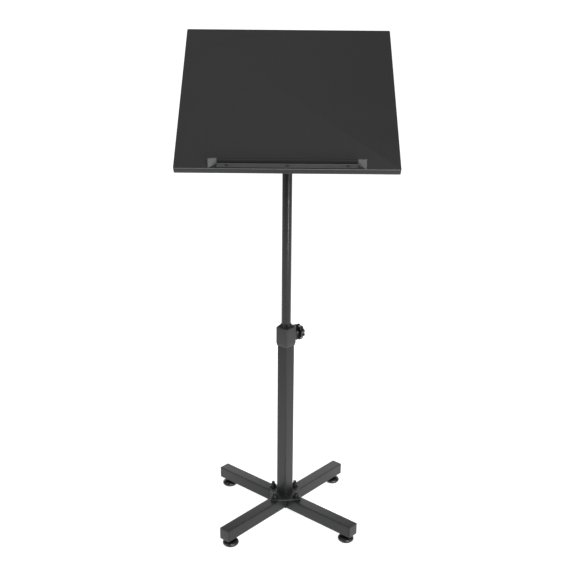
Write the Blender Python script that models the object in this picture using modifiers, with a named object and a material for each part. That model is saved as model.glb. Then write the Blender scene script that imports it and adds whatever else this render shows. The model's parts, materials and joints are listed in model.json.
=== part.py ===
"""Floor-standing music stand: a tilting board with an edge stopper on a post that slides and turns.

Metres, +Z up. The origin is on the floor under the post's axis. The reader stands on the -Y side.
"""

import math

import bmesh
import bpy

# Clearances
GAP = 0.0003  # between pieces that touch or are welded
BOLT_CLEARANCE = 0.0003  # radial, round a shank in its hole
OVERCUT = 0.0020  # how far a cutter runs past the face it opens

# Base
TUBE_SIDE = 0.028
TUBE_WALL = 0.0012
TUBE_CORNER = 0.0018
BAR_LENGTH = 0.420  # over both end caps
BASE_TURN_DEG = 49.24  # from the board's X axis to the through bar
LEG_CLEARANCE = 0.0180  # floor to the tubes' underside
CAP_FLANGE = 0.0025
CAP_PLUG_DEPTH = 0.0075
PLATE_SIDE = 0.072
PLATE_THICKNESS = 0.004
PLATE_CORNER = 0.004
BOLT_REACH = 0.0375  # post axis to each base bolt

# M8 fasteners
M8_RADIUS = 0.004
M8_ACROSS_FLATS = 0.013
M8_HEAD_HEIGHT = 0.0053
M8_NUT_HEIGHT = 0.008
NUT_FLANGE_RADIUS = 0.0088
NUT_FLANGE_THICKNESS = 0.0012
M8_THIN_NUT_HEIGHT = 0.0065
BOLT_END = 0.006  # what shows above a base nut

# Levelling feet
FOOT_REACH = 0.189
SOLE_RADIUS = 0.0166
SOLE_THICKNESS = 0.0020
DISC_RADIUS = 0.0188
DISC_TOP = 0.0120
NECK_RADIUS = 0.0062
NECK_TOP = 0.0165
FOOT_STUD_BOTTOM = 0.0063
FOOT_STUD_TOP = 0.0310
DISC_RIM = 0.0022
DISC_DRAFT = 0.0008
STUD_CHAMFER = 0.0010

# Column and collar
COLUMN_TOP = 0.4765
COLLAR_WALL = 0.0025  # round the column
COLLAR_BOTTOM = 0.4355
COLLAR_TOP = 0.4810
COLLAR_TAPER = 0.0070
COLLAR_CORNER = 0.0020
COLLAR_FOOT_WALL = 0.0012
CONE_RADIUS = 0.0158
CONE_TOP_RADIUS = 0.0120
CONE_HEIGHT = 0.0080

# Height clamp, measured out from the post's axis
CLAMP_Z = 0.4575
CLAMP_PAD_RADIUS = 0.0036
CLAMP_PAD_THICKNESS = 0.0020
BOSS_RADIUS = 0.0085
BOSS_LENGTH = 0.0052  # outside the collar
INSERT_RADIUS = 0.0058
INSERT_COVER = 0.0022  # plastic between the column and the insert

# Star knobs
KNOB_RADIUS = 0.0195
KNOB_LOBES = 10
KNOB_LOBE_STEPS = 5
KNOB_FLUTE = 0.0022
KNOB_HEAD = 0.0125
KNOB_ROUNDING = 0.0020
HUB_RADIUS = 0.0078
HUB_LENGTH = 0.0130
KNOB_SKIN = 0.0040  # plastic left over the end of the screw

# Post
POST_RADIUS = 0.0110
POST_WALL = 0.0012
POST_BOTTOM = 0.3925
GUIDE_HEIGHT = 0.0300
PLUG_HEIGHT = 0.0200
M6_RADIUS = 0.0030
M6_HEAD_RADIUS = 0.0055
M6_HEAD_HEIGHT = 0.0035
M6_SCREW_LENGTH = 0.0400
M6_HEAD_RECESS = 0.0060

# Head: the pivot's axis is along X
PIVOT_Z = 0.9650
YOKE_WIDTH = 0.0250
YOKE_THICKNESS = 0.0030
YOKE_INNER_HALF = 0.0150
YOKE_DROP = 0.0330  # pivot axis to the underside of the web
WASHER_THICKNESS = 0.0015
WASHER_RADIUS = 0.0090
BRACKET_THICKNESS = 0.0025
BRACKET_PLATE_X = 0.0900
BRACKET_PLATE_Y = 0.0640
BRACKET_EAR_ROOT = 0.0440
BRACKET_EAR_RADIUS = 0.0130
BRACKET_SCREW_X = 0.0350
BRACKET_SCREW_Y = 0.0230
STEEL_WASHER_THICKNESS = 0.0016

# Board, in the tilted frame: X across, Y up the slope, Z out of the face
BOARD_TILT_DEG = 41.0
BOARD_WIDTH = 0.4500
BOARD_DEPTH = 0.4000
BOARD_THICKNESS = 0.0150
BOARD_EDGE = 0.0008
PIVOT_DROP = 0.0300  # pivot axis to the board's underside
BOARD_SHIFT = 0.0070  # board's middle up the slope from the pivot

# Edge stopper, measured up the slope from the board's lower edge
STOPPER_SHEET = 0.0015
STOPPER_STRAIGHT = 0.2780
STOPPER_LIP_AT = 0.0125
STOPPER_FLANGE_FROM = 0.0020
STOPPER_HEIGHT = 0.0152
WING_REACH = 0.0170
WING_FOOT_FORWARD = 0.0105
WING_TOP_FORWARD = 0.0008
STOPPER_SCREW_SPACING = 0.1200

# Wood screws
WOOD_SCREW_RADIUS = 0.0020
WOOD_SCREW_HEAD_RADIUS = 0.0040
WOOD_SCREW_HEAD_HEIGHT = 0.0022
WOOD_SCREW_LENGTH = 0.0130
WOOD_SCREW_POINT = 0.0030
STOPPER_SCREW_LENGTH = 0.0110
FLAT_HEAD_RADIUS = 0.0032

SEGMENTS = 16
DISC_SEGMENTS = 24
FINE_SEGMENTS = 32
FINISHES = {
    # name: colour, roughness, metallic
    "powder_coat": ((0.030, 0.031, 0.032), 0.55, 0.0),
    "black_laminate": ((0.022, 0.022, 0.023), 0.60, 0.0),
    "black_plastic": ((0.020, 0.020, 0.021), 0.45, 0.0),
    "gloss_plastic": ((0.008, 0.008, 0.009), 0.18, 0.0),
    "black_steel": ((0.035, 0.035, 0.037), 0.35, 0.9),
    "zinc_steel": ((0.60, 0.60, 0.58), 0.35, 1.0),
    "brass": ((0.70, 0.52, 0.25), 0.35, 1.0),
    "nylon": ((0.55, 0.54, 0.50), 0.50, 0.0),
    "rubber": ((0.012, 0.012, 0.012), 0.80, 0.0),
}

LEGS = {
    # name: direction of each leg in the base's frame, degrees
    "rear_right": 0,
    "rear_left": 90,
    "front_left": 180,
    "front_right": 270,
}

# Sizes that follow from the ones above
LEG_TOP = LEG_CLEARANCE + TUBE_SIDE
PLATE_BOTTOM = LEG_TOP + GAP
PLATE_TOP = PLATE_BOTTOM + PLATE_THICKNESS
COLUMN_BOTTOM = PLATE_TOP + GAP
TUBE_BORE = TUBE_SIDE - 2 * TUBE_WALL
COLUMN_FIT = TUBE_SIDE + 2 * GAP
COLLAR_SIDE = TUBE_SIDE + 2 * COLLAR_WALL
COLLAR_FOOT_SIDE = TUBE_SIDE + 2 * COLLAR_FOOT_WALL
BOSS_END = COLLAR_SIDE / 2 + BOSS_LENGTH
INSERT_START = COLUMN_FIT / 2 + INSERT_COVER
POST_BORE = POST_RADIUS + GAP
YOKE_OUTER_HALF = YOKE_INNER_HALF + YOKE_THICKNESS
EAR_INNER_HALF = YOKE_OUTER_HALF + WASHER_THICKNESS + 2 * GAP
EAR_OUTER_HALF = EAR_INNER_HALF + BRACKET_THICKNESS
POST_TOP = PIVOT_Z - YOKE_DROP - GAP
BRACKET_TOP = PIVOT_DROP - GAP
BRACKET_BOTTOM = BRACKET_TOP - BRACKET_THICKNESS
M8_HOLE = M8_RADIUS + BOLT_CLEARANCE
M6_BORE = M6_RADIUS + BOLT_CLEARANCE


def clear_scene():
    """Removes what the file holds."""
    for thing in list(bpy.data.objects):
        bpy.data.objects.remove(thing, do_unlink=True)


def new_collection(name):
    """A collection linked to the scene."""
    made = bpy.data.collections.new(name)
    bpy.context.scene.collection.children.link(made)
    return made


def make_finishes():
    """One Principled material for each finish."""
    made = {}
    for name, (colour, roughness, metallic) in FINISHES.items():
        finish = bpy.data.materials.new(name)
        finish.use_nodes = True
        shader = finish.node_tree.nodes["Principled BSDF"]
        shader.inputs["Base Color"].default_value = (*colour, 1.0)
        shader.inputs["Roughness"].default_value = roughness
        shader.inputs["Metallic"].default_value = metallic
        made[name] = finish
    return made


clear_scene()
PARTS = new_collection("music_stand")
CUTTERS = new_collection("cutters")
MATERIALS = make_finishes()


def add_frame(name, parent=None, location=(0, 0, 0), rotation_deg=(0, 0, 0)):
    """An empty that carries the pieces of one frame."""
    frame = bpy.data.objects.new(name, None)
    frame.empty_display_size = 0.02
    frame.parent = parent
    frame.location = location
    frame.rotation_euler = [math.radians(turn) for turn in rotation_deg]
    PARTS.objects.link(frame)
    return frame


def add_object(name, mesh, frame, finish=None):
    """Links a mesh as a piece, or as a cutter where no finish is given."""
    piece = bpy.data.objects.new(name, mesh)
    piece.parent = frame
    if finish:
        mesh.materials.append(MATERIALS[finish])
        mesh.shade_smooth()
        mesh.set_sharp_from_angle(angle=math.radians(35))
        PARTS.objects.link(piece)
    else:
        piece.hide_render = True
        piece.display_type = "WIRE"
        CUTTERS.objects.link(piece)
    return piece


def mesh_from(name, build):
    """A mesh filled by a function that takes a bmesh."""
    mesh = bpy.data.meshes.new(name)
    work = bmesh.new()
    build(work)
    bmesh.ops.recalc_face_normals(work, faces=work.faces)
    work.to_mesh(mesh)
    work.free()
    return mesh


def block(name, low, high):
    """A box mesh between two corners."""

    def build(work):
        bmesh.ops.create_cube(work, size=1.0)
        for vert in work.verts:
            vert.co = [low[i] + (vert.co[i] + 0.5) * (high[i] - low[i]) for i in range(3)]

    return mesh_from(name, build)


def cone(name, low_radius, high_radius, bottom, top, segments=SEGMENTS):
    """A truncated cone along Z."""

    def build(work):
        bmesh.ops.create_cone(
            work,
            cap_ends=True,
            segments=segments,
            radius1=low_radius,
            radius2=high_radius,
            depth=top - bottom,
        )
        bmesh.ops.translate(work, verts=work.verts, vec=(0, 0, (bottom + top) / 2))

    return mesh_from(name, build)


def prism(name, radius, bottom, top, segments=SEGMENTS):
    """A cylinder or a regular prism along Z; its radius is to the corners."""
    return cone(name, radius, radius, bottom, top, segments)


def hexagon(name, across_flats, bottom, top):
    """A hexagonal prism along Z."""
    return prism(name, across_flats / math.sqrt(3), bottom, top, segments=6)


def square_tube(name, side, corner, bottom, top):
    """A square bar along Z with rounded long edges."""

    def build(work):
        bmesh.ops.create_cube(work, size=1.0)
        for vert in work.verts:
            x, y, z = vert.co
            vert.co = (x * side, y * side, bottom + (z + 0.5) * (top - bottom))
        upright = [edge for edge in work.edges if abs(edge.verts[0].co.z - edge.verts[1].co.z) > side / 10]
        bmesh.ops.bevel(work, geom=upright, offset=corner, segments=2, profile=0.5, affect="EDGES")

    return mesh_from(name, build)


def turned(name, frame, finish, profile, segments=SEGMENTS):
    """A piece turned about Z; the profile's (radius, z) points run down its outer side."""
    mesh = bpy.data.meshes.new(name)
    points = [(radius, 0.0, z) for radius, z in profile]
    closed = profile[0][0] > 0.0
    edges = [(i, i + 1) for i in range(len(points) - 1)]
    if closed:
        edges.append((len(points) - 1, 0))
    mesh.from_pydata(points, edges, [])
    piece = add_object(name, mesh, frame, finish)
    spin = piece.modifiers.new("turn", "SCREW")
    spin.steps = segments
    spin.render_steps = segments
    spin.use_merge_vertices = True
    spin.merge_threshold = 0.00001
    spin.use_smooth_shade = True
    if not closed:
        weld = piece.modifiers.new("close_poles", "WELD")
        weld.merge_threshold = 0.00001
    return piece


def outline_mesh(name, points, thickness, rounding=0.0):
    """A flat outline in XY, extruded evenly about Z = 0, as a closed mesh."""
    curve = bpy.data.curves.new(name, "CURVE")
    curve.dimensions = "2D"
    curve.fill_mode = "BOTH"
    curve.extrude = thickness / 2 - rounding
    curve.bevel_depth = rounding
    curve.bevel_resolution = 1
    curve.offset = -rounding
    spline = curve.splines.new("POLY")
    spline.points.add(len(points) - 1)
    for spot, (x, y) in zip(spline.points, points):
        spot.co = (x, y, 0.0, 1.0)
    spline.use_cyclic_u = True
    drawn = bpy.data.objects.new(name, curve)
    bpy.context.scene.collection.objects.link(drawn)
    graph = bpy.context.evaluated_depsgraph_get()
    mesh = bpy.data.meshes.new_from_object(drawn.evaluated_get(graph))
    bpy.data.objects.remove(drawn, do_unlink=True)
    bpy.data.curves.remove(curve)
    work = bmesh.new()
    work.from_mesh(mesh)
    bmesh.ops.remove_doubles(work, verts=work.verts, dist=0.00001)
    bmesh.ops.recalc_face_normals(work, faces=work.faces)
    work.to_mesh(mesh)
    work.free()
    mesh.name = name
    return mesh


def arc(centre, radius, start_deg, end_deg, steps):
    """Points along an arc, both ends included."""
    angles = [math.radians(start_deg + (end_deg - start_deg) * i / steps) for i in range(steps + 1)]
    return [(centre[0] + radius * math.cos(a), centre[1] + radius * math.sin(a)) for a in angles]


def rounded_square(side, corner, steps=3):
    """The outline of a square with round corners."""
    inset = side / 2 - corner
    points = []
    for quarter, (x, y) in enumerate(((1, 1), (-1, 1), (-1, -1), (1, -1))):
        points += arc((x * inset, y * inset), corner, quarter * 90, quarter * 90 + 90, steps)
    return points


def apply_tool(piece, tool, operation="DIFFERENCE"):
    """Cuts a piece with a cutter, or joins a hidden body to it."""
    change = piece.modifiers.new(tool.name, "BOOLEAN")
    change.operation = operation
    change.object = tool
    change.solver = "EXACT"


def drill(piece, frame, radius, bottom, top, location=(0, 0), axis="Z", segments=SEGMENTS):
    """Drills a round hole in a frame, along its Z or its X axis."""
    tool = add_object(f"{piece.name}_hole", prism("hole", radius, bottom, top, segments), frame)
    if axis == "X":
        tool.rotation_euler = (0, math.radians(90), 0)
        tool.location = (0, location[0], location[1])
    else:
        tool.location = (location[0], location[1], 0)
    apply_tool(piece, tool)


def leg_point(reach, leg):
    """A point on a leg's centreline, in the base's frame."""
    turn = math.radians(LEGS[leg])
    return (reach * math.cos(turn), reach * math.sin(turn))


BASE = add_frame("base_frame", rotation_deg=(0, 0, BASE_TURN_DEG))
COLUMN = add_frame("column_frame", BASE)
CLAMP = add_frame("clamp_axis", BASE, (0, 0, CLAMP_Z), (0, 90, 0))
POST = add_frame("post_axis")
TILT = add_frame("tilt_axis", None, (0, 0, PIVOT_Z), (BOARD_TILT_DEG, 0, 0))
TILT_SCREW = add_frame("tilt_screw_axis", TILT, (0, 0, 0), (0, 90, 0))


# Base


def make_bar(name, start, end, turn_deg, legs):
    """A square tube of the base, drilled for the feet and the base bolts on its legs."""
    frame = add_frame(f"{name}_frame", BASE, (0, 0, LEG_CLEARANCE + TUBE_SIDE / 2), (0, 0, turn_deg))
    lengthwise = add_frame(f"{name}_length", frame, (0, 0, 0), (0, 90, 0))
    bar = add_object(name, square_tube(name, TUBE_SIDE, TUBE_CORNER, start, end), lengthwise, "powder_coat")
    bore = square_tube("bore", TUBE_BORE, TUBE_CORNER / 2, start - OVERCUT, end + OVERCUT)
    apply_tool(bar, add_object(f"{name}_bore", bore, lengthwise))
    below = LEG_CLEARANCE - OVERCUT
    for leg in legs:
        drill(bar, BASE, M8_HOLE, below, LEG_TOP + OVERCUT, leg_point(BOLT_REACH, leg))
        drill(bar, BASE, M8_HOLE, below, LEG_CLEARANCE + TUBE_SIDE / 2, leg_point(FOOT_REACH, leg))


def make_base_bars():
    """A through bar and two arms that meet it at the middle."""
    bar_end = BAR_LENGTH / 2 - CAP_FLANGE - GAP
    arm_start = TUBE_SIDE / 2 + GAP
    make_bar("base_bar", -bar_end, bar_end, 0, ("rear_right", "front_left"))
    make_bar("base_arm_rear", arm_start, bar_end, 90, ("rear_left",))
    make_bar("base_arm_front", arm_start, bar_end, 270, ("front_right",))


def make_end_cap(leg):
    """A moulded plug with a flange that covers a tube's end."""
    frame = add_frame(f"{leg}_end", BASE, (0, 0, LEG_CLEARANCE + TUBE_SIDE / 2), (0, 0, LEGS[leg]))
    outward = add_frame(f"{leg}_outward", frame, (BAR_LENGTH / 2, 0, 0), (0, 90, 0))
    cap = add_object(
        f"end_cap_{leg}",
        square_tube("cap", TUBE_SIDE, TUBE_CORNER, -CAP_FLANGE, 0.0),
        outward,
        "black_plastic",
    )
    plug_side = TUBE_BORE - 2 * GAP
    plug = square_tube("plug", plug_side, TUBE_CORNER, -CAP_FLANGE - CAP_PLUG_DEPTH, -CAP_FLANGE / 2)
    apply_tool(cap, add_object(f"{leg}_plug", plug, outward), "UNION")


def make_flange_plate():
    """The plate under the column, with its corners over the legs."""
    turned_frame = add_frame("plate_frame", BASE, (0, 0, PLATE_BOTTOM + PLATE_THICKNESS / 2), (0, 0, 45))
    mesh = outline_mesh("plate", rounded_square(PLATE_SIDE, PLATE_CORNER), PLATE_THICKNESS)
    plate = add_object("flange_plate", mesh, turned_frame, "powder_coat")
    for leg in LEGS:
        drill(plate, BASE, M8_HOLE, PLATE_BOTTOM - OVERCUT, PLATE_TOP + OVERCUT, leg_point(BOLT_REACH, leg))


def make_base_bolt(leg):
    """A hexagon bolt up through tube and plate, and the flanged lock nut on it."""
    x, y = leg_point(BOLT_REACH, leg)
    frame = add_frame(f"{leg}_bolt_axis", BASE, (x, y, 0))
    head_top = LEG_CLEARANCE - GAP
    nut_bottom = PLATE_TOP + GAP
    nut_top = nut_bottom + M8_NUT_HEIGHT
    bolt_top = nut_top + BOLT_END
    bolt = add_object(
        f"base_bolt_{leg}",
        hexagon("head", M8_ACROSS_FLATS, head_top - M8_HEAD_HEIGHT, head_top),
        frame,
        "black_steel",
    )
    shank = prism("shank", M8_RADIUS, head_top - M8_HEAD_HEIGHT / 2, bolt_top)
    apply_tool(bolt, add_object(f"{leg}_shank", shank, frame), "UNION")
    nut = add_object(
        f"base_nut_{leg}",
        hexagon("nut", M8_ACROSS_FLATS, nut_bottom, nut_top),
        frame,
        "black_steel",
    )
    flange = prism("flange", NUT_FLANGE_RADIUS, nut_bottom, nut_bottom + NUT_FLANGE_THICKNESS)
    apply_tool(nut, add_object(f"{leg}_flange", flange, frame), "UNION")
    drill(nut, frame, M8_HOLE, nut_bottom - OVERCUT, nut_top + OVERCUT)


def make_foot(leg):
    """A weld nut in the leg, and a threaded stud with a moulded disc and a rubber sole."""
    x, y = leg_point(FOOT_REACH, leg)
    frame = add_frame(f"{leg}_foot_axis", BASE, (x, y, 0))
    nut_bottom = LEG_CLEARANCE + TUBE_WALL + GAP
    nut = add_object(
        f"foot_nut_{leg}",
        hexagon("nut", M8_ACROSS_FLATS, nut_bottom, nut_bottom + M8_THIN_NUT_HEIGHT),
        frame,
        "zinc_steel",
    )
    drill(nut, frame, M8_HOLE, nut_bottom - OVERCUT, nut_bottom + M8_THIN_NUT_HEIGHT + OVERCUT)
    turned(
        f"foot_sole_{leg}",
        frame,
        "rubber",
        [(0.0, SOLE_THICKNESS), (SOLE_RADIUS, SOLE_THICKNESS), (SOLE_RADIUS, 0.0), (0.0, 0.0)],
        segments=DISC_SEGMENTS,
    )
    turned(
        f"foot_stud_{leg}",
        frame,
        "zinc_steel",
        [
            (0.0, FOOT_STUD_TOP),
            (M8_RADIUS - STUD_CHAMFER, FOOT_STUD_TOP),
            (M8_RADIUS, FOOT_STUD_TOP - STUD_CHAMFER),
            (M8_RADIUS, FOOT_STUD_BOTTOM),
            (0.0, FOOT_STUD_BOTTOM),
        ],
    )
    disc_bottom = SOLE_THICKNESS + GAP
    rim = disc_bottom + DISC_RIM
    rise = DISC_TOP - rim
    dome = [
        (NECK_RADIUS + (DISC_RADIUS - NECK_RADIUS) * math.cos(a), rim + rise * math.sin(a))
        for a in (math.radians(step) for step in (75, 50, 25, 0))
    ]
    turned(
        f"foot_disc_{leg}",
        frame,
        "gloss_plastic",
        [
            (M8_HOLE, NECK_TOP),
            (NECK_RADIUS, NECK_TOP),
            (NECK_RADIUS, DISC_TOP),
            *dome,
            (DISC_RADIUS - DISC_DRAFT, disc_bottom),
            (0.0, disc_bottom),
            (0.0, FOOT_STUD_BOTTOM - GAP),
            (M8_HOLE, FOOT_STUD_BOTTOM - GAP),
        ],
        segments=DISC_SEGMENTS,
    )


# Column, collar and height clamp


def make_column():
    """The square column, drilled for the clamp screw."""
    column = add_object(
        "column_tube",
        square_tube("column", TUBE_SIDE, TUBE_CORNER, COLUMN_BOTTOM, COLUMN_TOP),
        COLUMN,
        "powder_coat",
    )
    bore = square_tube("bore", TUBE_BORE, TUBE_CORNER / 2, COLUMN_BOTTOM - OVERCUT, COLUMN_TOP + OVERCUT)
    apply_tool(column, add_object("column_bore", bore, COLUMN))
    drill(column, CLAMP, M8_HOLE, POST_RADIUS / 2, TUBE_SIDE)


def make_collar():
    """The cap on the column: a socket below, a round guide and a cone above, and a boss for the clamp."""
    body = square_tube("collar", COLLAR_SIDE, COLLAR_CORNER, COLLAR_BOTTOM, COLLAR_TOP)
    foot_share = COLLAR_FOOT_SIDE / COLLAR_SIDE
    for vert in body.vertices:
        if vert.co.z < COLLAR_BOTTOM + GAP:
            vert.co.x *= foot_share
            vert.co.y *= foot_share
    collar = add_object("collar", body, COLUMN, "black_plastic")
    waist = square_tube("waist", COLLAR_SIDE, COLLAR_CORNER, COLLAR_BOTTOM + COLLAR_TAPER, COLLAR_TOP)
    apply_tool(collar, add_object("collar_waist", waist, COLUMN), "UNION")
    top_cone = cone(
        "cone", CONE_RADIUS, CONE_TOP_RADIUS, COLLAR_TOP - OVERCUT, COLLAR_TOP + CONE_HEIGHT, FINE_SEGMENTS
    )
    apply_tool(collar, add_object("collar_cone", top_cone, COLUMN), "UNION")
    boss = prism("boss", BOSS_RADIUS, COLLAR_SIDE / 2 - OVERCUT, BOSS_END)
    apply_tool(collar, add_object("collar_boss", boss, CLAMP), "UNION")
    socket_top = COLUMN_TOP + GAP
    socket = square_tube("socket", COLUMN_FIT, TUBE_CORNER, COLLAR_BOTTOM - OVERCUT, socket_top)
    apply_tool(collar, add_object("collar_socket", socket, COLUMN))
    cone_end = COLLAR_TOP + CONE_HEIGHT + OVERCUT
    drill(collar, COLUMN, POST_BORE, socket_top - OVERCUT, cone_end, segments=FINE_SEGMENTS)
    drill(collar, CLAMP, M8_HOLE, COLUMN_FIT / 2 - OVERCUT, INSERT_START)
    drill(collar, CLAMP, INSERT_RADIUS + GAP, INSERT_START - GAP, BOSS_END + OVERCUT)
    turned(
        "clamp_nut",
        CLAMP,
        "brass",
        [
            (M8_HOLE, BOSS_END),
            (INSERT_RADIUS, BOSS_END),
            (INSERT_RADIUS, INSERT_START),
            (M8_HOLE, INSERT_START),
        ],
    )


def knob_outline():
    """The fluted outline of a star knob."""
    steps = KNOB_LOBES * KNOB_LOBE_STEPS
    points = []
    for i in range(steps):
        angle = 2 * math.pi * i / steps
        radius = KNOB_RADIUS - KNOB_FLUTE * (0.5 - 0.5 * math.cos(KNOB_LOBES * angle))
        points.append((radius * math.cos(angle), radius * math.sin(angle)))
    return points


def make_knob(name, frame, start, bores):
    """A star knob on a round hub that starts at a place on its screw; bores are (radius, end) pairs."""
    head_start = start + HUB_LENGTH
    mesh = outline_mesh(name, knob_outline(), KNOB_HEAD, KNOB_ROUNDING)
    for vert in mesh.vertices:
        vert.co.z += head_start + KNOB_HEAD / 2
    knob = add_object(name, mesh, frame, "gloss_plastic")
    hub = prism("hub", HUB_RADIUS, start, head_start + KNOB_HEAD / 2)
    apply_tool(knob, add_object(f"{name}_hub", hub, frame), "UNION")
    for radius, end in bores:
        drill(knob, frame, radius, start - OVERCUT, end)
    return knob


def make_height_clamp():
    """The star knob on its stud, with the pad that the stud presses on the post."""
    pad_start = POST_RADIUS + GAP
    pad_end = pad_start + CLAMP_PAD_THICKNESS
    stud_start = pad_end + GAP
    knob_start = BOSS_END + GAP
    stud_end = knob_start + HUB_LENGTH + KNOB_HEAD - KNOB_SKIN
    turned(
        "clamp_pad",
        CLAMP,
        "nylon",
        [(0.0, pad_end), (CLAMP_PAD_RADIUS, pad_end), (CLAMP_PAD_RADIUS, pad_start), (0.0, pad_start)],
    )
    turned(
        "clamp_stud",
        CLAMP,
        "zinc_steel",
        [(0.0, stud_end), (M8_RADIUS, stud_end), (M8_RADIUS, stud_start), (0.0, stud_start)],
    )
    make_knob("clamp_knob", CLAMP, knob_start, [(M8_HOLE, stud_end + GAP)])


# Post


def make_post():
    """The round post, and the guide block that a screw holds under it."""
    turned(
        "upper_post",
        POST,
        "powder_coat",
        [
            (POST_RADIUS - POST_WALL, POST_TOP),
            (POST_RADIUS, POST_TOP),
            (POST_RADIUS, POST_BOTTOM),
            (POST_RADIUS - POST_WALL, POST_BOTTOM),
        ],
        segments=FINE_SEGMENTS,
    )
    guide_top = POST_BOTTOM - GAP
    guide_bottom = guide_top - GUIDE_HEIGHT
    guide_side = TUBE_BORE - 2 * GAP
    guide = add_object(
        "post_guide",
        square_tube("guide", guide_side, TUBE_CORNER, guide_bottom, guide_top),
        COLUMN,
        "nylon",
    )
    drill(guide, COLUMN, M6_BORE, guide_bottom - OVERCUT, guide_top + OVERCUT)
    drill(guide, COLUMN, M6_HEAD_RADIUS + GAP, guide_bottom - OVERCUT, guide_bottom + M6_HEAD_RECESS)
    plug_bottom = POST_BOTTOM
    plug_top = plug_bottom + PLUG_HEIGHT
    plug_radius = POST_RADIUS - POST_WALL - GAP
    turned(
        "post_plug",
        POST,
        "nylon",
        [
            (M6_BORE, plug_top),
            (plug_radius, plug_top),
            (plug_radius, plug_bottom),
            (M6_BORE, plug_bottom),
        ],
    )
    head_top = guide_bottom + M6_HEAD_RECESS - GAP
    screw_top = head_top + M6_SCREW_LENGTH
    turned(
        "guide_screw",
        POST,
        "zinc_steel",
        [
            (0.0, screw_top),
            (M6_RADIUS, screw_top),
            (M6_RADIUS, head_top),
            (M6_HEAD_RADIUS, head_top),
            (M6_HEAD_RADIUS, head_top - M6_HEAD_HEIGHT),
            (0.0, head_top - M6_HEAD_HEIGHT),
        ],
    )


def ear_outline(root_y, root_half, radius):
    """An ear that hangs from a root line above the pivot and ends in a round about it."""
    reach = math.hypot(root_half, root_y)
    root_angle = 180 - math.degrees(math.atan2(root_y, root_half))
    tangent = root_angle + math.degrees(math.acos(radius / reach))
    rounded_end = arc((0, 0), radius, tangent, 540 - tangent, 12)
    return [(-root_half, root_y)] + rounded_end + [(root_half, root_y)]


def make_ear(name, frame, outline, inner_half, outer_half, side):
    """A flat ear in the plane across the pivot, as a body for a union; the outline is (y, z) points."""
    thickness = outer_half - inner_half
    mesh = outline_mesh(name, outline, thickness)
    middle = side * (inner_half + outer_half) / 2
    for vert in mesh.vertices:
        y, z, x = vert.co
        vert.co = (x + middle, y, z)
    return add_object(name, mesh, frame)


def make_head_yoke():
    """The U-bracket welded on the post: a web and two ears that hold the pivot."""
    frame = add_frame("yoke_frame", POST, (0, 0, PIVOT_Z))
    half = YOKE_WIDTH / 2
    web = block(
        "web",
        (-YOKE_OUTER_HALF, -half, -YOKE_DROP),
        (YOKE_OUTER_HALF, half, -YOKE_DROP + YOKE_THICKNESS),
    )
    yoke = add_object("head_yoke", web, frame, "powder_coat")
    outline = [(half, -YOKE_DROP)] + arc((0, 0), half, 0, 180, 12) + [(-half, -YOKE_DROP)]
    for side in (-1, 1):
        ear = make_ear(f"yoke_ear_{side}", frame, outline, YOKE_INNER_HALF, YOKE_OUTER_HALF, side)
        apply_tool(yoke, ear, "UNION")
    drill(yoke, frame, M8_HOLE, -2 * YOKE_OUTER_HALF, 2 * YOKE_OUTER_HALF, axis="X")


# Board


def make_board():
    """The flat board, drilled from below for the bracket's screws."""
    low = (-BOARD_WIDTH / 2, BOARD_SHIFT - BOARD_DEPTH / 2, PIVOT_DROP)
    high = (BOARD_WIDTH / 2, BOARD_SHIFT + BOARD_DEPTH / 2, PIVOT_DROP + BOARD_THICKNESS)
    board = add_object("board_panel", block("board", low, high), TILT, "black_laminate")
    soften = board.modifiers.new("edges", "BEVEL")
    soften.width = BOARD_EDGE
    soften.segments = 1
    pilot = WOOD_SCREW_RADIUS + BOLT_CLEARANCE
    pilot_end = BRACKET_BOTTOM + WOOD_SCREW_LENGTH + GAP
    for x, y in bracket_screw_places():
        drill(board, TILT, pilot, PIVOT_DROP - OVERCUT, pilot_end, (x, y))
    board_face = PIVOT_DROP + BOARD_THICKNESS
    for x in stopper_screw_places():
        place = (x, stopper_screw_y())
        drill(board, TILT, pilot, board_face - STOPPER_SCREW_LENGTH, board_face + OVERCUT, place)


def bracket_screw_places():
    """The bracket's four screws, in the tilted frame."""
    return [
        (x * BRACKET_SCREW_X, y * BRACKET_SCREW_Y)
        for x, y in ((-1, -1), (1, -1), (1, 1), (-1, 1))
    ]


def stopper_screw_places():
    """The stopper's three screws, across the board."""
    return [step * STOPPER_SCREW_SPACING for step in (-1, 0, 1)]


def stopper_screw_y():
    """The line of the stopper's screws, along the middle of its flange."""
    lower_edge = BOARD_SHIFT - BOARD_DEPTH / 2
    return lower_edge + (STOPPER_FLANGE_FROM + STOPPER_LIP_AT - STOPPER_SHEET / 2) / 2


def make_tilt_bracket():
    """The bracket under the board: a plate and two ears outside the yoke's."""
    plate = block(
        "plate",
        (-BRACKET_PLATE_X / 2, -BRACKET_PLATE_Y / 2, BRACKET_BOTTOM),
        (BRACKET_PLATE_X / 2, BRACKET_PLATE_Y / 2, BRACKET_TOP),
    )
    bracket = add_object("tilt_bracket", plate, TILT, "powder_coat")
    outline = ear_outline((BRACKET_BOTTOM + BRACKET_TOP) / 2, BRACKET_EAR_ROOT / 2, BRACKET_EAR_RADIUS)
    for side in (-1, 1):
        ear = make_ear(f"bracket_ear_{side}", TILT, outline, EAR_INNER_HALF, EAR_OUTER_HALF, side)
        apply_tool(bracket, ear, "UNION")
    drill(bracket, TILT, M8_HOLE, -2 * EAR_OUTER_HALF, 2 * EAR_OUTER_HALF, axis="X")
    for x, y in bracket_screw_places():
        hole = WOOD_SCREW_RADIUS + BOLT_CLEARANCE
        drill(bracket, TILT, hole, BRACKET_BOTTOM - OVERCUT, BRACKET_TOP + OVERCUT, (x, y))


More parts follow.
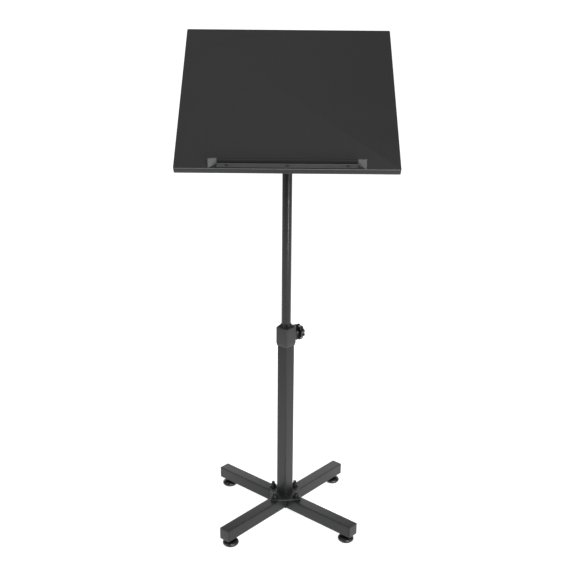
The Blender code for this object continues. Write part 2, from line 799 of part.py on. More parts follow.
def make_bracket_screws():
    """Four pan-head wood screws up through the bracket into the board."""
    head_top = BRACKET_BOTTOM - GAP
    for number, (x, y) in enumerate(bracket_screw_places(), 1):
        frame = add_frame(f"bracket_screw_axis_{number}", TILT, (x, y, 0))
        tip = BRACKET_BOTTOM + WOOD_SCREW_LENGTH
        turned(
            f"bracket_screw_{number}",
            frame,
            "zinc_steel",
            [
                (0.0, tip),
                (WOOD_SCREW_RADIUS, tip - WOOD_SCREW_POINT),
                (WOOD_SCREW_RADIUS, head_top),
                (WOOD_SCREW_HEAD_RADIUS, head_top),
                (WOOD_SCREW_HEAD_RADIUS * 0.8, head_top - WOOD_SCREW_HEAD_HEIGHT),
                (0.0, head_top - WOOD_SCREW_HEAD_HEIGHT),
            ],
        )


def make_edge_stopper():
    """A bent sheet: a flange on the board, an upright lip, and a wing splayed to the reader at each end."""
    lower_edge = BOARD_SHIFT - BOARD_DEPTH / 2
    face = PIVOT_DROP + BOARD_THICKNESS + GAP + STOPPER_SHEET / 2
    lip_y = lower_edge + STOPPER_LIP_AT
    flange_y = lower_edge + STOPPER_FLANGE_FROM
    top_z = face + STOPPER_HEIGHT
    half = STOPPER_STRAIGHT / 2
    wing_end = half + WING_REACH
    mesh = bpy.data.meshes.new("stopper")
    points = [
        (-half, flange_y, face),
        (half, flange_y, face),
        (-half, lip_y, face),
        (half, lip_y, face),
        (-half, lip_y, top_z),
        (half, lip_y, top_z),
    ]
    for side in (-1, 1):
        points.append((side * wing_end, lip_y - WING_FOOT_FORWARD, face))
        points.append((side * wing_end, lip_y - WING_TOP_FORWARD, top_z))
    mesh.from_pydata(points, [], [(0, 1, 3, 2), (2, 3, 5, 4), (6, 2, 4, 7), (3, 8, 9, 5)])
    stopper = add_object("edge_stopper", mesh, TILT, "powder_coat")
    sheet = stopper.modifiers.new("sheet", "SOLIDIFY")
    sheet.thickness = STOPPER_SHEET
    sheet.offset = 0.0
    sheet.use_even_offset = True
    for number, x in enumerate(stopper_screw_places(), 1):
        frame = add_frame(f"stopper_screw_axis_{number}", TILT, (x, stopper_screw_y(), 0))
        sink = cone(
            "sink",
            WOOD_SCREW_RADIUS + BOLT_CLEARANCE,
            FLAT_HEAD_RADIUS + BOLT_CLEARANCE,
            face - STOPPER_SHEET / 2 - GAP,
            face + STOPPER_SHEET / 2 + GAP,
        )
        apply_tool(stopper, add_object(f"stopper_sink_{number}", sink, frame))
        head_top = face + STOPPER_SHEET / 2
        head_bottom = face - STOPPER_SHEET / 2
        tip = head_top - STOPPER_SCREW_LENGTH
        turned(
            f"stopper_screw_{number}",
            frame,
            "black_steel",
            [
                (0.0, head_top),
                (FLAT_HEAD_RADIUS - BOLT_CLEARANCE, head_top),
                (WOOD_SCREW_RADIUS - BOLT_CLEARANCE, head_bottom),
                (WOOD_SCREW_RADIUS - BOLT_CLEARANCE, tip + WOOD_SCREW_POINT),
                (0.0, tip),
            ],
        )


def make_tilt_pivot():
    """The pivot bolt, the friction washers between the ears, and the knob that clamps them."""
    head_end = -EAR_OUTER_HALF - GAP
    washer_start = EAR_OUTER_HALF + GAP
    washer_end = washer_start + STEEL_WASHER_THICKNESS
    knob_start = washer_end + GAP
    nut_end = knob_start + M8_NUT_HEIGHT
    bolt_end = knob_start + HUB_LENGTH + KNOB_HEAD - KNOB_SKIN
    bolt = add_object(
        "pivot_bolt",
        hexagon("head", M8_ACROSS_FLATS, head_end - M8_HEAD_HEIGHT, head_end),
        TILT_SCREW,
        "black_steel",
    )
    shank = prism("shank", M8_RADIUS, head_end - M8_HEAD_HEIGHT / 2, bolt_end)
    apply_tool(bolt, add_object("pivot_shank", shank, TILT_SCREW), "UNION")
    for name, side in (("left", -1), ("right", 1)):
        ends = sorted((side * (YOKE_OUTER_HALF + GAP), side * (EAR_INNER_HALF - GAP)))
        turned(
            f"pivot_washer_{name}",
            TILT_SCREW,
            "nylon",
            [(M8_HOLE, ends[1]), (WASHER_RADIUS, ends[1]), (WASHER_RADIUS, ends[0]), (M8_HOLE, ends[0])],
        )
    turned(
        "tilt_washer",
        TILT_SCREW,
        "zinc_steel",
        [
            (M8_HOLE, washer_end),
            (WASHER_RADIUS, washer_end),
            (WASHER_RADIUS, washer_start),
            (M8_HOLE, washer_start),
        ],
    )
    turned(
        "tilt_knob_nut",
        TILT_SCREW,
        "brass",
        [
            (M8_HOLE, nut_end),
            (INSERT_RADIUS, nut_end),
            (INSERT_RADIUS, knob_start),
            (M8_HOLE, knob_start),
        ],
    )
    make_knob(
        "tilt_knob",
        TILT_SCREW,
        knob_start,
        [(M8_HOLE, bolt_end + GAP), (INSERT_RADIUS + GAP, nut_end + GAP)],
    )


def main():
    """Makes every piece."""
    make_base_bars()
    make_flange_plate()
    for leg in LEGS:
        make_end_cap(leg)
        make_base_bolt(leg)
        make_foot(leg)
    make_column()
    make_collar()
    make_height_clamp()
    make_post()
    make_head_yoke()
    make_board()
    make_tilt_bracket()
    make_bracket_screws()
    make_edge_stopper()
    make_tilt_pivot()
    bpy.context.view_layer.update()


main()
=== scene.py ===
"""Looks of a floor-standing music stand, laid out as an add-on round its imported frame."""

import json
import math

import bmesh
import bpy
from mathutils import Matrix, Vector


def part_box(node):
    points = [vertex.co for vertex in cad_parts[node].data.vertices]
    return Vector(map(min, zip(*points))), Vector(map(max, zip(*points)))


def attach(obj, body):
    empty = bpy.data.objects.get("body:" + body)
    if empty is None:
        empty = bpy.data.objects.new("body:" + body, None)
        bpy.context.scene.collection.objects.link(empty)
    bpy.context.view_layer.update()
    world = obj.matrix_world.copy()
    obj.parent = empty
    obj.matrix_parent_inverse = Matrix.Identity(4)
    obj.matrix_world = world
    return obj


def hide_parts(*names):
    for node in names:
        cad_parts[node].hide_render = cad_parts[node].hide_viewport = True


bl_info = {
    "name": "Music Stand",
    "version": (1, 0, 0),
    "blender": (4, 5, 0),
    "location": "3D View > Sidebar > Stand",
    "description": "Builds the finished look of a music stand piece by piece",
    "category": "Add Mesh",
}

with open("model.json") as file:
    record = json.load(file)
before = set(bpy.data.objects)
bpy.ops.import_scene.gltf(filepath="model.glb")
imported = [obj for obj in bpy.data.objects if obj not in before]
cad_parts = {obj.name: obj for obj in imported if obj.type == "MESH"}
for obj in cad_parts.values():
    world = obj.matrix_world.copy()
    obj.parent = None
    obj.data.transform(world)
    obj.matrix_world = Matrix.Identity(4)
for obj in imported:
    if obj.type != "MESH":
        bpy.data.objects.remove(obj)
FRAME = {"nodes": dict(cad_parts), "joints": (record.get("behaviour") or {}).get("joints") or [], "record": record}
LEGS = ("rear_right", "rear_left", "front_left", "front_right")
SIDEWAYS = Matrix.Rotation(math.radians(90), 4, "Y")
GAP = 0.0003  # between pieces that touch
SAWN_EDGE = 0.00025  # rounding of a sawn tube end
PLATE_EDGE = 0.0005  # rounding of a cut plate's edges
TIP_CHAMFER = 0.0009  # length of a threaded tip's chamfer
THREAD_DEPTH = 0.54  # as a share of the pitch
CHAMFER_FACE = 0.97  # circle left on a chamfered hexagon, as a share of its flats


def named(records, name):
    """The record in a list that has a name."""
    return next(record for record in records if record["name"] == name)


def base_turn():
    """Angle from the board's X axis to the through tube, from the clamp screw's axis."""
    axis = named(FRAME["joints"], "clamp_pad_travel")["axis"]
    return math.atan2(axis[1], axis[0])


def tilt_place():
    """The board's frame: X across, Y up the slope, Z out of the face, origin on the pivot."""
    pivot = Vector(named(FRAME["joints"], "board_tilt")["pos_m"])
    face = Vector(named(FRAME["record"]["mounts"], "board_rest")["axis"])
    return Matrix.Translation(pivot) @ Matrix.Rotation(math.atan2(-face.y, face.z), 4, "X")


def clamp_place():
    """The height clamp's frame, Z out along its screw."""
    origin = Vector(named(FRAME["joints"], "clamp_knob_turn")["pos_m"])
    return Matrix.Translation(origin) @ BASE @ SIDEWAYS


BASE = Matrix.Rotation(base_turn(), 4, "Z")
CLAMP = clamp_place()
TILT = tilt_place()
TILT_SCREW = TILT @ SIDEWAYS
PIVOT = Matrix.Translation(TILT.translation)


def local_box(node, place):
    """Lowest and highest corners of a node of the frame, along a place's own axes."""
    back = place.inverted()
    spots = [back @ vert.co for vert in FRAME["nodes"][node].data.vertices]
    low = Vector([min(spot[i] for spot in spots) for i in range(3)])
    high = Vector([max(spot[i] for spot in spots) for i in range(3)])
    return low, high


def upright_place(node):
    """A place on the floor under the middle of a node."""
    low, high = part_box(node)
    middle = (low + high) / 2
    return Matrix.Translation((middle.x, middle.y, 0))


def new_object(name, data):
    """An object of some data, linked to the scene."""
    made = bpy.data.objects.new(name, data)
    bpy.context.scene.collection.objects.link(made)
    return made


def free_to_mesh(work, name):
    """A bmesh as a plain mesh; the bmesh is freed."""
    mesh = bpy.data.meshes.new(name)
    work.to_mesh(mesh)
    work.free()
    return mesh


def evaluated_mesh(piece):
    """A piece's mesh with its modifiers applied, which are then removed."""
    graph = bpy.context.evaluated_depsgraph_get()
    mesh = bpy.data.meshes.new_from_object(piece.evaluated_get(graph))
    piece.modifiers.clear()
    return mesh


# Outlines, as functions from an angle to a radius


def circle(radius):
    """A round outline."""
    return lambda angle: radius


def square(half, corner):
    """A square outline with round corners."""
    centre = half - corner

    def radius(angle):
        folded = abs((angle + math.pi / 4) % (math.pi / 2) - math.pi / 4)
        if math.tan(folded) * half <= centre:
            return half / math.cos(folded)
        along = centre * (math.cos(folded) + math.sin(folded))
        return along + math.sqrt(max(0.0, along * along - 2 * centre * centre + corner * corner))

    return radius


def hexagon(across_flats, limit):
    """A hexagonal outline, cut back to a circle where its corners pass a limit."""

    def radius(angle):
        folded = (angle + math.pi / 6) % (math.pi / 3) - math.pi / 6
        return min(across_flats / 2 / math.cos(folded), limit)

    return radius


def lobed(radius, lobes, flute):
    """A knob's outline: round lobes with narrower valleys between them."""
    return lambda angle: radius - flute * (0.5 - 0.5 * math.cos(lobes * angle)) ** 0.8


def between(one, two, share):
    """An outline part of the way from one outline to another."""
    return lambda angle: one(angle) * (1 - share) + two(angle) * share


def cross(reach, half_width):
    """The outline of a screw's cross recess."""

    def radius(angle):
        across = max(abs(math.sin(angle)), 1e-6)
        along = max(abs(math.cos(angle)), 1e-6)
        lying = min(half_width / across, reach / along)
        standing = min(half_width / along, reach / across)
        return max(lying, standing)

    return radius


def thread(radius, pitch, depth, height):
    """The outline of a right-hand thread at one height."""

    def cut(angle):
        phase = (height / pitch - angle / math.tau) % 1.0
        return radius - depth * (1.0 - abs(2.0 * phase - 1.0))

    return cut


def even_angles(count):
    """Equal steps round a circle."""
    return [math.tau * i / count for i in range(count)]


def square_angles(half, corner, arc_steps=6, side_steps=4):
    """Steps round a square that crowd into its round corners."""
    edge = math.atan2(half - corner, half)
    angles = []
    for quarter in range(4):
        middle = math.radians(45 + 90 * quarter)
        sweep = math.pi / 4 - edge
        angles += [middle - sweep + 2 * sweep * i / arc_steps for i in range(arc_steps)]
        angles += [middle + sweep + 2 * edge * i / side_steps for i in range(side_steps)]
    return angles


def ring(outline, angles, height):
    """One outline as points at a height."""
    return [(outline(a) * math.cos(a), outline(a) * math.sin(a), height) for a in angles]


def rounded_wall(low, high, edge, steps=3):
    """(height, inset) pairs up a wall whose two ends are rounded."""
    turns = [math.pi / 2 * i / steps for i in range(steps + 1)]
    rise = [(low + edge * (1 - math.cos(a)), edge * (1 - math.sin(a))) for a in turns]
    fall = [(high - edge * (1 - math.cos(a)), edge * (1 - math.sin(a))) for a in reversed(turns)]
    return rise + fall


def fillet(points, radius, steps=4):
    """A line of (radius, height) points with its inner corners rounded."""
    smooth = [points[0]]
    for before, here, after in zip(points, points[1:], points[2:]):
        back = Vector(before) - Vector(here)
        on = Vector(after) - Vector(here)
        cut = min(radius, back.length * 0.45, on.length * 0.45)
        start = Vector(here) + back.normalized() * cut
        end = Vector(here) + on.normalized() * cut
        for i in range(steps + 1):
            t = i / steps
            spot = start * (1 - t) ** 2 + Vector(here) * 2 * t * (1 - t) + end * t * t
            smooth.append(tuple(spot))
    return smooth + [points[-1]]


def inset(outline, distance):
    """A convex outline of (x, y) points moved inwards."""
    moved = []
    count = len(outline)
    for i, here in enumerate(outline):
        before = Vector(outline[i - 1])
        after = Vector(outline[(i + 1) % count])
        one = (Vector(here) - before).normalized()
        two = (after - Vector(here)).normalized()
        normal = Vector((-one.y - two.y, one.x + two.x))
        normal /= max(normal.length_squared / 2, 1e-9)
        moved.append(tuple(Vector(here) + normal * distance))
    return moved


def arc(centre, radius, start_deg, end_deg, steps):
    """Points along an arc, both ends included."""
    turns = [math.radians(start_deg + (end_deg - start_deg) * i / steps) for i in range(steps + 1)]
    return [(centre[0] + radius * math.cos(a), centre[1] + radius * math.sin(a)) for a in turns]


class Shells:
    """The closed shells of one piece."""

    def __init__(self, place=None):
        self.work = bmesh.new()
        self.place = place or Matrix()

    def skin(self, rings, loop=False, finish=0):
        """Joins rings of points; the two ends are capped, or joined to each other."""
        rows = [[self.work.verts.new(point) for point in points] for points in rings]
        pairs = list(zip(rows, rows[1:]))
        faces = []
        if loop:
            pairs.append((rows[-1], rows[0]))
        else:
            faces += [self.work.faces.new(rows[0][::-1]), self.work.faces.new(rows[-1])]
        for low, high in pairs:
            for i in range(len(low)):
                j = (i + 1) % len(low)
                faces.append(self.work.faces.new((low[i], low[j], high[j], high[i])))
        for face in faces:
            face.material_index = finish

    def turn(self, profile, count=48, loop=False):
        """Turns a line of (radius, height) points about Z."""
        angles = even_angles(count)
        self.skin([ring(circle(r), angles, z) for r, z in profile], loop)

    def plate(self, outline, low, high):
        """A flat plate of a convex outline with rounded edges."""
        walls = rounded_wall(low, high, PLATE_EDGE)
        self.skin([[(x, y, z) for x, y in inset(outline, cut)] for z, cut in walls])

    def done(self, name, finishes, sharp_deg=38):
        """The finished mesh as an object at the origin."""
        self.work.transform(self.place)
        bmesh.ops.recalc_face_normals(self.work, faces=self.work.faces)
        mesh = free_to_mesh(self.work, name)
        mesh.shade_smooth()
        mesh.set_sharp_from_angle(angle=math.radians(sharp_deg))
        for finish in finishes:
            mesh.materials.append(FINISHES[finish])
        return new_object(name, mesh)


def bore(piece, place, radius, start, end, sharp_deg):
    """Drills a round hole in a piece along a place's Z axis."""
    shells = Shells(place)
    shells.turn([(radius, start), (radius, end)])
    drill = shells.done("drill", [])
    cut = piece.modifiers.new("bore", "BOOLEAN")
    cut.operation = "DIFFERENCE"
    cut.solver = "EXACT"
    cut.object = drill
    piece.data = evaluated_mesh(piece)
    piece.data.set_sharp_from_angle(angle=math.radians(sharp_deg))
    bpy.data.objects.remove(drill)


def deliver(piece, body, slot, *nodes):
    """Hangs a piece on its body and hides the nodes of the frame it stands for."""
    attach(piece, body)
    if nodes:
        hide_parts(*nodes)


# Node trees


class Wire:
    """A node socket; arithmetic on it adds Math nodes to its tree."""

    def __init__(self, graph, socket):
        self.graph = graph
        self.socket = socket

    def math(self, operation, *values):
        """A Math node on up to three values."""
        sockets = dict(enumerate(values))
        return self.graph.node("ShaderNodeMath", {"operation": operation}, sockets)

    def __add__(self, other):
        return self.math("ADD", self, other)

    def __radd__(self, other):
        return self.math("ADD", other, self)

    def __sub__(self, other):
        return self.math("SUBTRACT", self, other)

    def __rsub__(self, other):
        return self.math("SUBTRACT", other, self)

    def __mul__(self, other):
        return self.math("MULTIPLY", self, other)

    def __rmul__(self, other):
        return self.math("MULTIPLY", other, self)

    def ramp(self, low, high):
        """0 below one value and 1 above another, smooth between."""
        settings = {"interpolation_type": "SMOOTHSTEP"}
        sockets = {"Value": self, "From Min": low, "From Max": high}
        return self.graph.node("ShaderNodeMapRange", settings, sockets)


class Graph:
    """A node tree and the one way its nodes are added."""

    def __init__(self, tree):
        self.tree = tree

    def node(self, kind, settings=None, sockets=None, output=0):
        """A node with its settings made first, then its sockets' values or links."""
        made = self.tree.nodes.new(kind)
        for key, value in (settings or {}).items():
            setattr(made, key, value)
        for key, value in (sockets or {}).items():
            if isinstance(value, Wire):
                self.tree.links.new(value.socket, made.inputs[key])
            else:
                made.inputs[key].default_value = value
        return Wire(self, made.outputs[output]) if made.outputs else made


class Paint(Graph):
    """One material."""

    def __init__(self, name):
        self.material = bpy.data.materials.new(name)
        self.material.use_nodes = True
        super().__init__(self.material.node_tree)
        self.tree.nodes.clear()
        self.shader = self.tree.nodes.new("ShaderNodeBsdfPrincipled")
        out = self.tree.nodes.new("ShaderNodeOutputMaterial")
        self.tree.links.new(self.shader.outputs["BSDF"], out.inputs["Surface"])
        self.where = self.node("ShaderNodeTexCoord", output="Object")

    def along(self, place, stretch):
        """Object coordinates turned to a place's axes and stretched along them."""
        turned = self.node(
            "ShaderNodeVectorRotate",
            {"rotation_type": "EULER_XYZ", "invert": True},
            {"Vector": self.where, "Center": place.translation, "Rotation": place.to_euler()},
        )
        return self.node("ShaderNodeVectorMath", {"operation": "MULTIPLY"}, {0: turned, 1: stretch})

    def noise(self, scale, detail=2.0, rough=0.5, where=None):
        """Smooth noise, 0 to 1."""
        sockets = {"Vector": where or self.where, "Scale": scale, "Detail": detail, "Roughness": rough}
        return self.node("ShaderNodeTexNoise", {"noise_dimensions": "3D"}, sockets)

    def cells(self, scale, feature="F1"):
        """Distance to the nearest of scattered points."""
        sockets = {"Vector": self.where, "Scale": scale}
        return self.node("ShaderNodeTexVoronoi", {"feature": feature}, sockets, "Distance")

    def mix(self, share, one, two):
        """A blend of two colours."""
        return self.node("ShaderNodeMix", {"data_type": "RGBA"}, {0: share, 6: one, 7: two}, 2)

    def bump(self, height, strength, distance):
        """A Bump node into the shader's normal."""
        sockets = {"Height": height, "Strength": strength, "Distance": distance}
        normal = self.node("ShaderNodeBump", None, sockets)
        self.tree.links.new(normal.socket, self.shader.inputs["Normal"])

    def set(self, **values):
        """Values or links of the shader's own sockets, with _ for a space."""
        for key, value in values.items():
            socket = self.shader.inputs[key.replace("_", " ")]
            if isinstance(value, Wire):
                self.tree.links.new(value.socket, socket)
            else:
                socket.default_value = value


def shade(colour, factor):
    """A colour made lighter or darker, with its alpha."""
    return (*[min(1.0, part * factor) for part in colour], 1.0)


def powder_coat(name, colour, roughness):
    """Sprayed and baked powder: a fine orange peel, slow drifts of gloss and a little dust."""
    paint = Paint(name)
    peel = paint.noise(780.0, 3.0, 0.55)
    grit = paint.noise(2600.0, 1.0)
    drift = paint.noise(11.0, 3.0)
    dust = paint.cells(310.0).ramp(0.16, 0.05) * paint.noise(42.0, 2.0).ramp(0.52, 0.70)
    base = paint.mix(drift, shade(colour, 0.86), shade(colour, 1.16))
    paint.set(
        Base_Color=paint.mix(dust * 0.35, base, shade(colour, 5.0)),
        Roughness=roughness + (drift - 0.5) * 0.16 + (peel - 0.5) * 0.12 + dust * 0.2,
        Specular_IOR_Level=0.38,
    )
    paint.bump(peel * 0.75 + grit * 0.25, 0.35, 0.00012)
    return paint.material


def laminate(name, colour, roughness):
    """The board's melamine skin: a pebbled print, wiped smears and hair scratches along the slope."""
    paint = Paint(name)
    pebble = paint.cells(1500.0, "SMOOTH_F1")
    grain = paint.noise(900.0, 2.0)
    smear = paint.noise(6.0, 4.0, 0.6, paint.along(TILT, (1.0, 2.6, 1.0)))
    hair = paint.noise(30.0, 2.0, 0.5, paint.along(TILT, (42.0, 1.3, 1.0))).ramp(0.66, 0.74)
    base = paint.mix(smear, shade(colour, 0.88), shade(colour, 1.14))
    paint.set(
        Base_Color=paint.mix(hair * 0.22, base, shade(colour, 2.2)),
        Roughness=roughness + (smear - 0.5) * 0.18 - hair * 0.08 + (grain - 0.5) * 0.08,
        Specular_IOR_Level=0.5,
    )
    paint.bump(pebble * 0.6 + grain * 0.4, 0.30, 0.00010)
    return paint.material


def edge_band(name, colour, roughness, sheen):
    """The strip glued round the board's edge: smooth, with faint waves along it."""
    paint = Paint(name)
    wave = paint.noise(70.0, 2.0, 0.5, paint.along(TILT, (0.35, 0.35, 3.0)))
    grain = paint.noise(1400.0, 1.0)
    paint.set(
        Base_Color=paint.mix(wave, shade(colour, 0.9), shade(colour, 1.15)),
        Roughness=roughness + (wave - 0.5) * 0.14,
        Specular_IOR_Level=sheen,
    )
    paint.bump(wave * 0.7 + grain * 0.3, 0.20, 0.00010)
    return paint.material


def moulded(name, colour, roughness, grain_scale, relief, coat):
    """Injection-moulded plastic: spark-eroded grain, flow marks and handling gloss."""
    paint = Paint(name)
    grain = paint.noise(grain_scale, 2.0, 0.6)
    flow = paint.noise(38.0, 3.0, 0.6)
    print_mark = paint.noise(130.0, 2.0).ramp(0.55, 0.68)
    paint.set(
        Base_Color=paint.mix(flow, shade(colour, 0.85), shade(colour, 1.2)),
        Roughness=roughness + (flow - 0.5) * 0.12 + print_mark * 0.07,
        Coat_Weight=coat,
        Coat_Roughness=0.12,
    )
    paint.bump(grain, relief, 0.00010)
    return paint.material


def plated_metal(name, colour, roughness, spangle_scale, worn):
    """Plated or blackened steel: small crystals of tone, and rubbed patches."""
    paint = Paint(name)
    spangle = paint.cells(spangle_scale)
    rub = paint.noise(240.0, 3.0, 0.6).ramp(0.55, 0.78)
    tone = paint.mix(spangle, shade(colour, 0.82), shade(colour, 1.18))
    paint.set(
        Base_Color=paint.mix(rub * worn, tone, shade(colour, 3.2)),
        Roughness=roughness + (spangle - 0.5) * 0.10 - rub * 0.08,
        Metallic=0.92,
    )
    paint.bump(paint.noise(1900.0, 2.0), 0.12, 0.00006)
    return paint.material


def turned_brass(name, colour, roughness):
    """Turned brass with tool rings and a dull patina."""
    paint = Paint(name)
    patina = paint.noise(170.0, 3.0)
    rings = paint.noise(60.0, 0.0, 0.5, paint.along(CLAMP, (0.2, 0.2, 60.0)))
    paint.set(
        Base_Color=paint.mix(patina, shade(colour, 0.7), shade(colour, 1.1)),
        Roughness=roughness + patina * 0.15,
        Metallic=1.0,
    )
    paint.bump(rings, 0.2, 0.00008)
    return paint.material


def rubber(name, colour, roughness):
    """Matte moulded rubber with floor dust in its pores."""
    paint = Paint(name)
    pores = paint.noise(1100.0, 3.0, 0.7)
    dust = paint.noise(90.0, 3.0).ramp(0.5, 0.75)
    paint.set(
        Base_Color=paint.mix(dust * 0.4, shade(colour, 1.0), shade(colour, 3.0)),
        Roughness=roughness + (pores - 0.5) * 0.1,
    )
    paint.bump(pores, 0.4, 0.00012)
    return paint.material


def floor_finish(name, colour, glow):
    """The stage's pale matte paint, lit a little from within."""
    paint = Paint(name)
    mottle = paint.noise(1.7, 3.0)
    paint.set(
        Base_Color=paint.mix(mottle, shade(colour, 0.985), shade(colour, 1.0)),
        Roughness=0.9,
        Emission_Color=(1.0, 1.0, 1.0, 1.0),
        Emission_Strength=glow,
    )
    return paint.material


FINISHES = {}


def make_finishes(finish):
    """Every material of the stand, from the user's colours."""
    table = {
        "frame_coat": (powder_coat, finish.frame_colour, finish.frame_roughness),
        "post_coat": (powder_coat, finish.post_colour, finish.post_roughness),
        "weld_coat": (powder_coat, finish.frame_colour, finish.post_roughness),
        # The stopper's lip takes a darker copy of the frame's coat: painted shade on the lip's face.
        "lip_coat": (powder_coat, finish.lip_shade_colour, finish.frame_roughness),
        # The stopper's flange and wings take this lighter coat: painted light, brighter than the lip of the same
        # sheet.
        "rubbed_coat": (powder_coat, finish.painted_light_colour, finish.post_roughness),
        "board_skin": (laminate, finish.board_colour, finish.board_roughness),
        "board_band": (edge_band, finish.board_colour, finish.band_roughness, 0.24),
        # The arris material's light colour is a painted highlight along the board's rounded edges.
        "board_arris": (edge_band, finish.arris_highlight_colour, finish.arris_roughness, 0.5),
        "grained_plastic": (moulded, finish.plastic_colour, 0.46, 1700.0, 0.35, 0.0),
        "gloss_plastic": (moulded, finish.knob_colour, 0.24, 900.0, 0.05, 0.35),
        "black_oxide": (plated_metal, finish.hardware_colour, 0.34, 900.0, 0.35),
        "zinc_plate": (plated_metal, (0.56, 0.56, 0.54), 0.33, 520.0, 0.1),
        "brass": (turned_brass, (0.66, 0.47, 0.21), 0.28),
        "nylon": (moulded, (0.50, 0.49, 0.45), 0.5, 1200.0, 0.2, 0.0),
        "sole_rubber": (rubber, (0.012, 0.012, 0.012), 0.8),
    }
    for name, (make, *settings) in table.items():
        FINISHES[name] = make(name, *settings)


# Geometry trees


def new_tree(name, inputs):
    """A geometry tree with named inputs, its input wires and its graph."""
    tree = bpy.data.node_groups.new(name, "GeometryNodeTree")
    tree.is_modifier = True
    tree.interface.new_socket(name="Geometry", in_out="INPUT", socket_type="NodeSocketGeometry")
    for label, kind in inputs:
        tree.interface.new_socket(name=label, in_out="INPUT", socket_type=kind)
    tree.interface.new_socket(name="Geometry", in_out="OUTPUT", socket_type="NodeSocketGeometry")
    graph = Graph(tree)
    source = tree.nodes.new("NodeGroupInput")
    wires = {socket.name: Wire(graph, socket) for socket in source.outputs if socket.name}
    return graph, wires


def close_tree(graph, instances, finish):
    """Realizes instances, gives them their material and leads them out."""
    real = graph.node("GeometryNodeRealizeInstances", None, {"Geometry": instances})
    painted = graph.node("GeometryNodeSetMaterial", None, {"Geometry": real, "Material": finish})
    graph.node("NodeGroupOutput", None, {"Geometry": painted})
    return graph.tree


def bead_tree():
    """Weld ripples: overlapping drops along a line of edges."""
    graph, inputs = new_tree(
        "weld_bead",
        [
            ("Spacing", "NodeSocketFloat"),
            ("Bead Radius", "NodeSocketFloat"),
            ("Unevenness", "NodeSocketFloat"),
            ("Seed", "NodeSocketInt"),
            ("Finish", "NodeSocketMaterial"),
        ],
    )
    path = graph.node("GeometryNodeMeshToCurve", None, {"Mesh": inputs["Geometry"]})
    steps = graph.node(
        "GeometryNodeResampleCurve", {"mode": "LENGTH"}, {"Curve": path, "Length": inputs["Spacing"]}
    )
    drop = graph.node(
        "GeometryNodeMeshIcoSphere", None, {"Radius": inputs["Bead Radius"], "Subdivisions": 2}
    )
    size = graph.node(
        "FunctionNodeRandomValue",
        {"data_type": "FLOAT"},
        {2: 1.0 - inputs["Unevenness"], 3: 1.0 + inputs["Unevenness"], 8: inputs["Seed"]},
        1,
    )
    drops = graph.node(
        "GeometryNodeInstanceOnPoints", None, {"Points": steps, "Instance": drop, "Scale": size}
    )
    smooth = graph.node("GeometryNodeSetShadeSmooth", None, {"Geometry": drops})
    return close_tree(graph, smooth, inputs["Finish"])


def repeat_tree():
    """One shape at each point of a mesh."""
    graph, inputs = new_tree(
        "like_parts", [("Shape", "NodeSocketObject"), ("Finish", "NodeSocketMaterial")]
    )
    shape = graph.node(
        "GeometryNodeObjectInfo",
        {"transform_space": "ORIGINAL"},
        {"Object": inputs["Shape"], "As Instance": True},
        "Geometry",
    )
    many = graph.node(
        "GeometryNodeInstanceOnPoints", None, {"Points": inputs["Geometry"], "Instance": shape}
    )
    return close_tree(graph, many, inputs["Finish"])


def grow(name, mesh, tree, values):
    """Runs a geometry tree on a mesh and keeps the result as a plain mesh."""
    host = new_object(f"{name}_host", mesh)
    modifier = host.modifiers.new("grow", "NODES")
    modifier.node_group = tree
    for socket in tree.interface.items_tree:
        if socket.in_out == "INPUT" and socket.name in values:
            modifier[socket.identifier] = values[socket.name]
    result = evaluated_mesh(host)
    bpy.data.objects.remove(host)
    result.name = name
    return new_object(name, result)


def copies(name, template, points, finish):
    """One plain mesh of a template repeated at points; the template is removed."""
    mesh = bpy.data.meshes.new(f"{name}_points")
    mesh.from_pydata([tuple(point) for point in points], [], [])
    piece = grow(name, mesh, repeat_tree(), {"Shape": template, "Finish": FINISHES[finish]})
    bpy.data.objects.remove(template)
    return piece


def weld(name, lines, shape, seed):
    """Weld beads along lines of points, as one mesh."""
    points = []
    edges = []
    for line in lines:
        edges += [(len(points) + i, len(points) + i + 1) for i in range(len(line) - 1)]
        points += [tuple(point) for point in line]
    mesh = bpy.data.meshes.new(f"{name}_path")
    mesh.from_pydata(points, edges, [])
    values = {
        "Spacing": shape.bead_spacing,
        "Bead Radius": shape.bead_radius,
        "Unevenness": 0.12,
        "Seed": seed,
        "Finish": FINISHES["weld_coat"],
    }
    return grow(name, mesh, bead_tree(), values)


# Base


def square_tube(name, node, place, shape, finish, body):
    """A length of square tube with rolled corners and a clean saw cut at each end."""
    low, high = local_box(node, place)
    half = high.x
    angles = square_angles(half, shape.tube_corner)
    bore = half - shape.tube_wall
    inner = max(shape.tube_corner - shape.tube_wall, 0.0005)
    walls = rounded_wall(low.z, high.z, SAWN_EDGE, 2)
    outside = [ring(square(half - cut, shape.tube_corner - cut), angles, z) for z, cut in walls]
    inside = [ring(square(bore, inner), angles, z) for z in (high.z, low.z)]
    shells = Shells(place)
    shells.skin(outside + inside, loop=True)
    deliver(shells.done(name, [finish]), body, "powder_coat", node)


def leg_place(number):
    """The frame of a leg's tube, Z outwards along it."""
    low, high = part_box("base_bar")
    middle = Matrix.Translation((0, 0, (low.z + high.z) / 2))
    return middle @ BASE @ Matrix.Rotation(math.radians(90 * number), 4, "Z") @ SIDEWAYS


def make_base_tubes(shape):
    """The through tube and the two arms."""
    square_tube("through_tube", "base_bar", leg_place(0), shape, "frame_coat", "base")
    square_tube("rear_arm", "base_arm_rear", leg_place(1), shape, "frame_coat", "base")
    square_tube("front_arm", "base_arm_front", leg_place(3), shape, "frame_coat", "base")


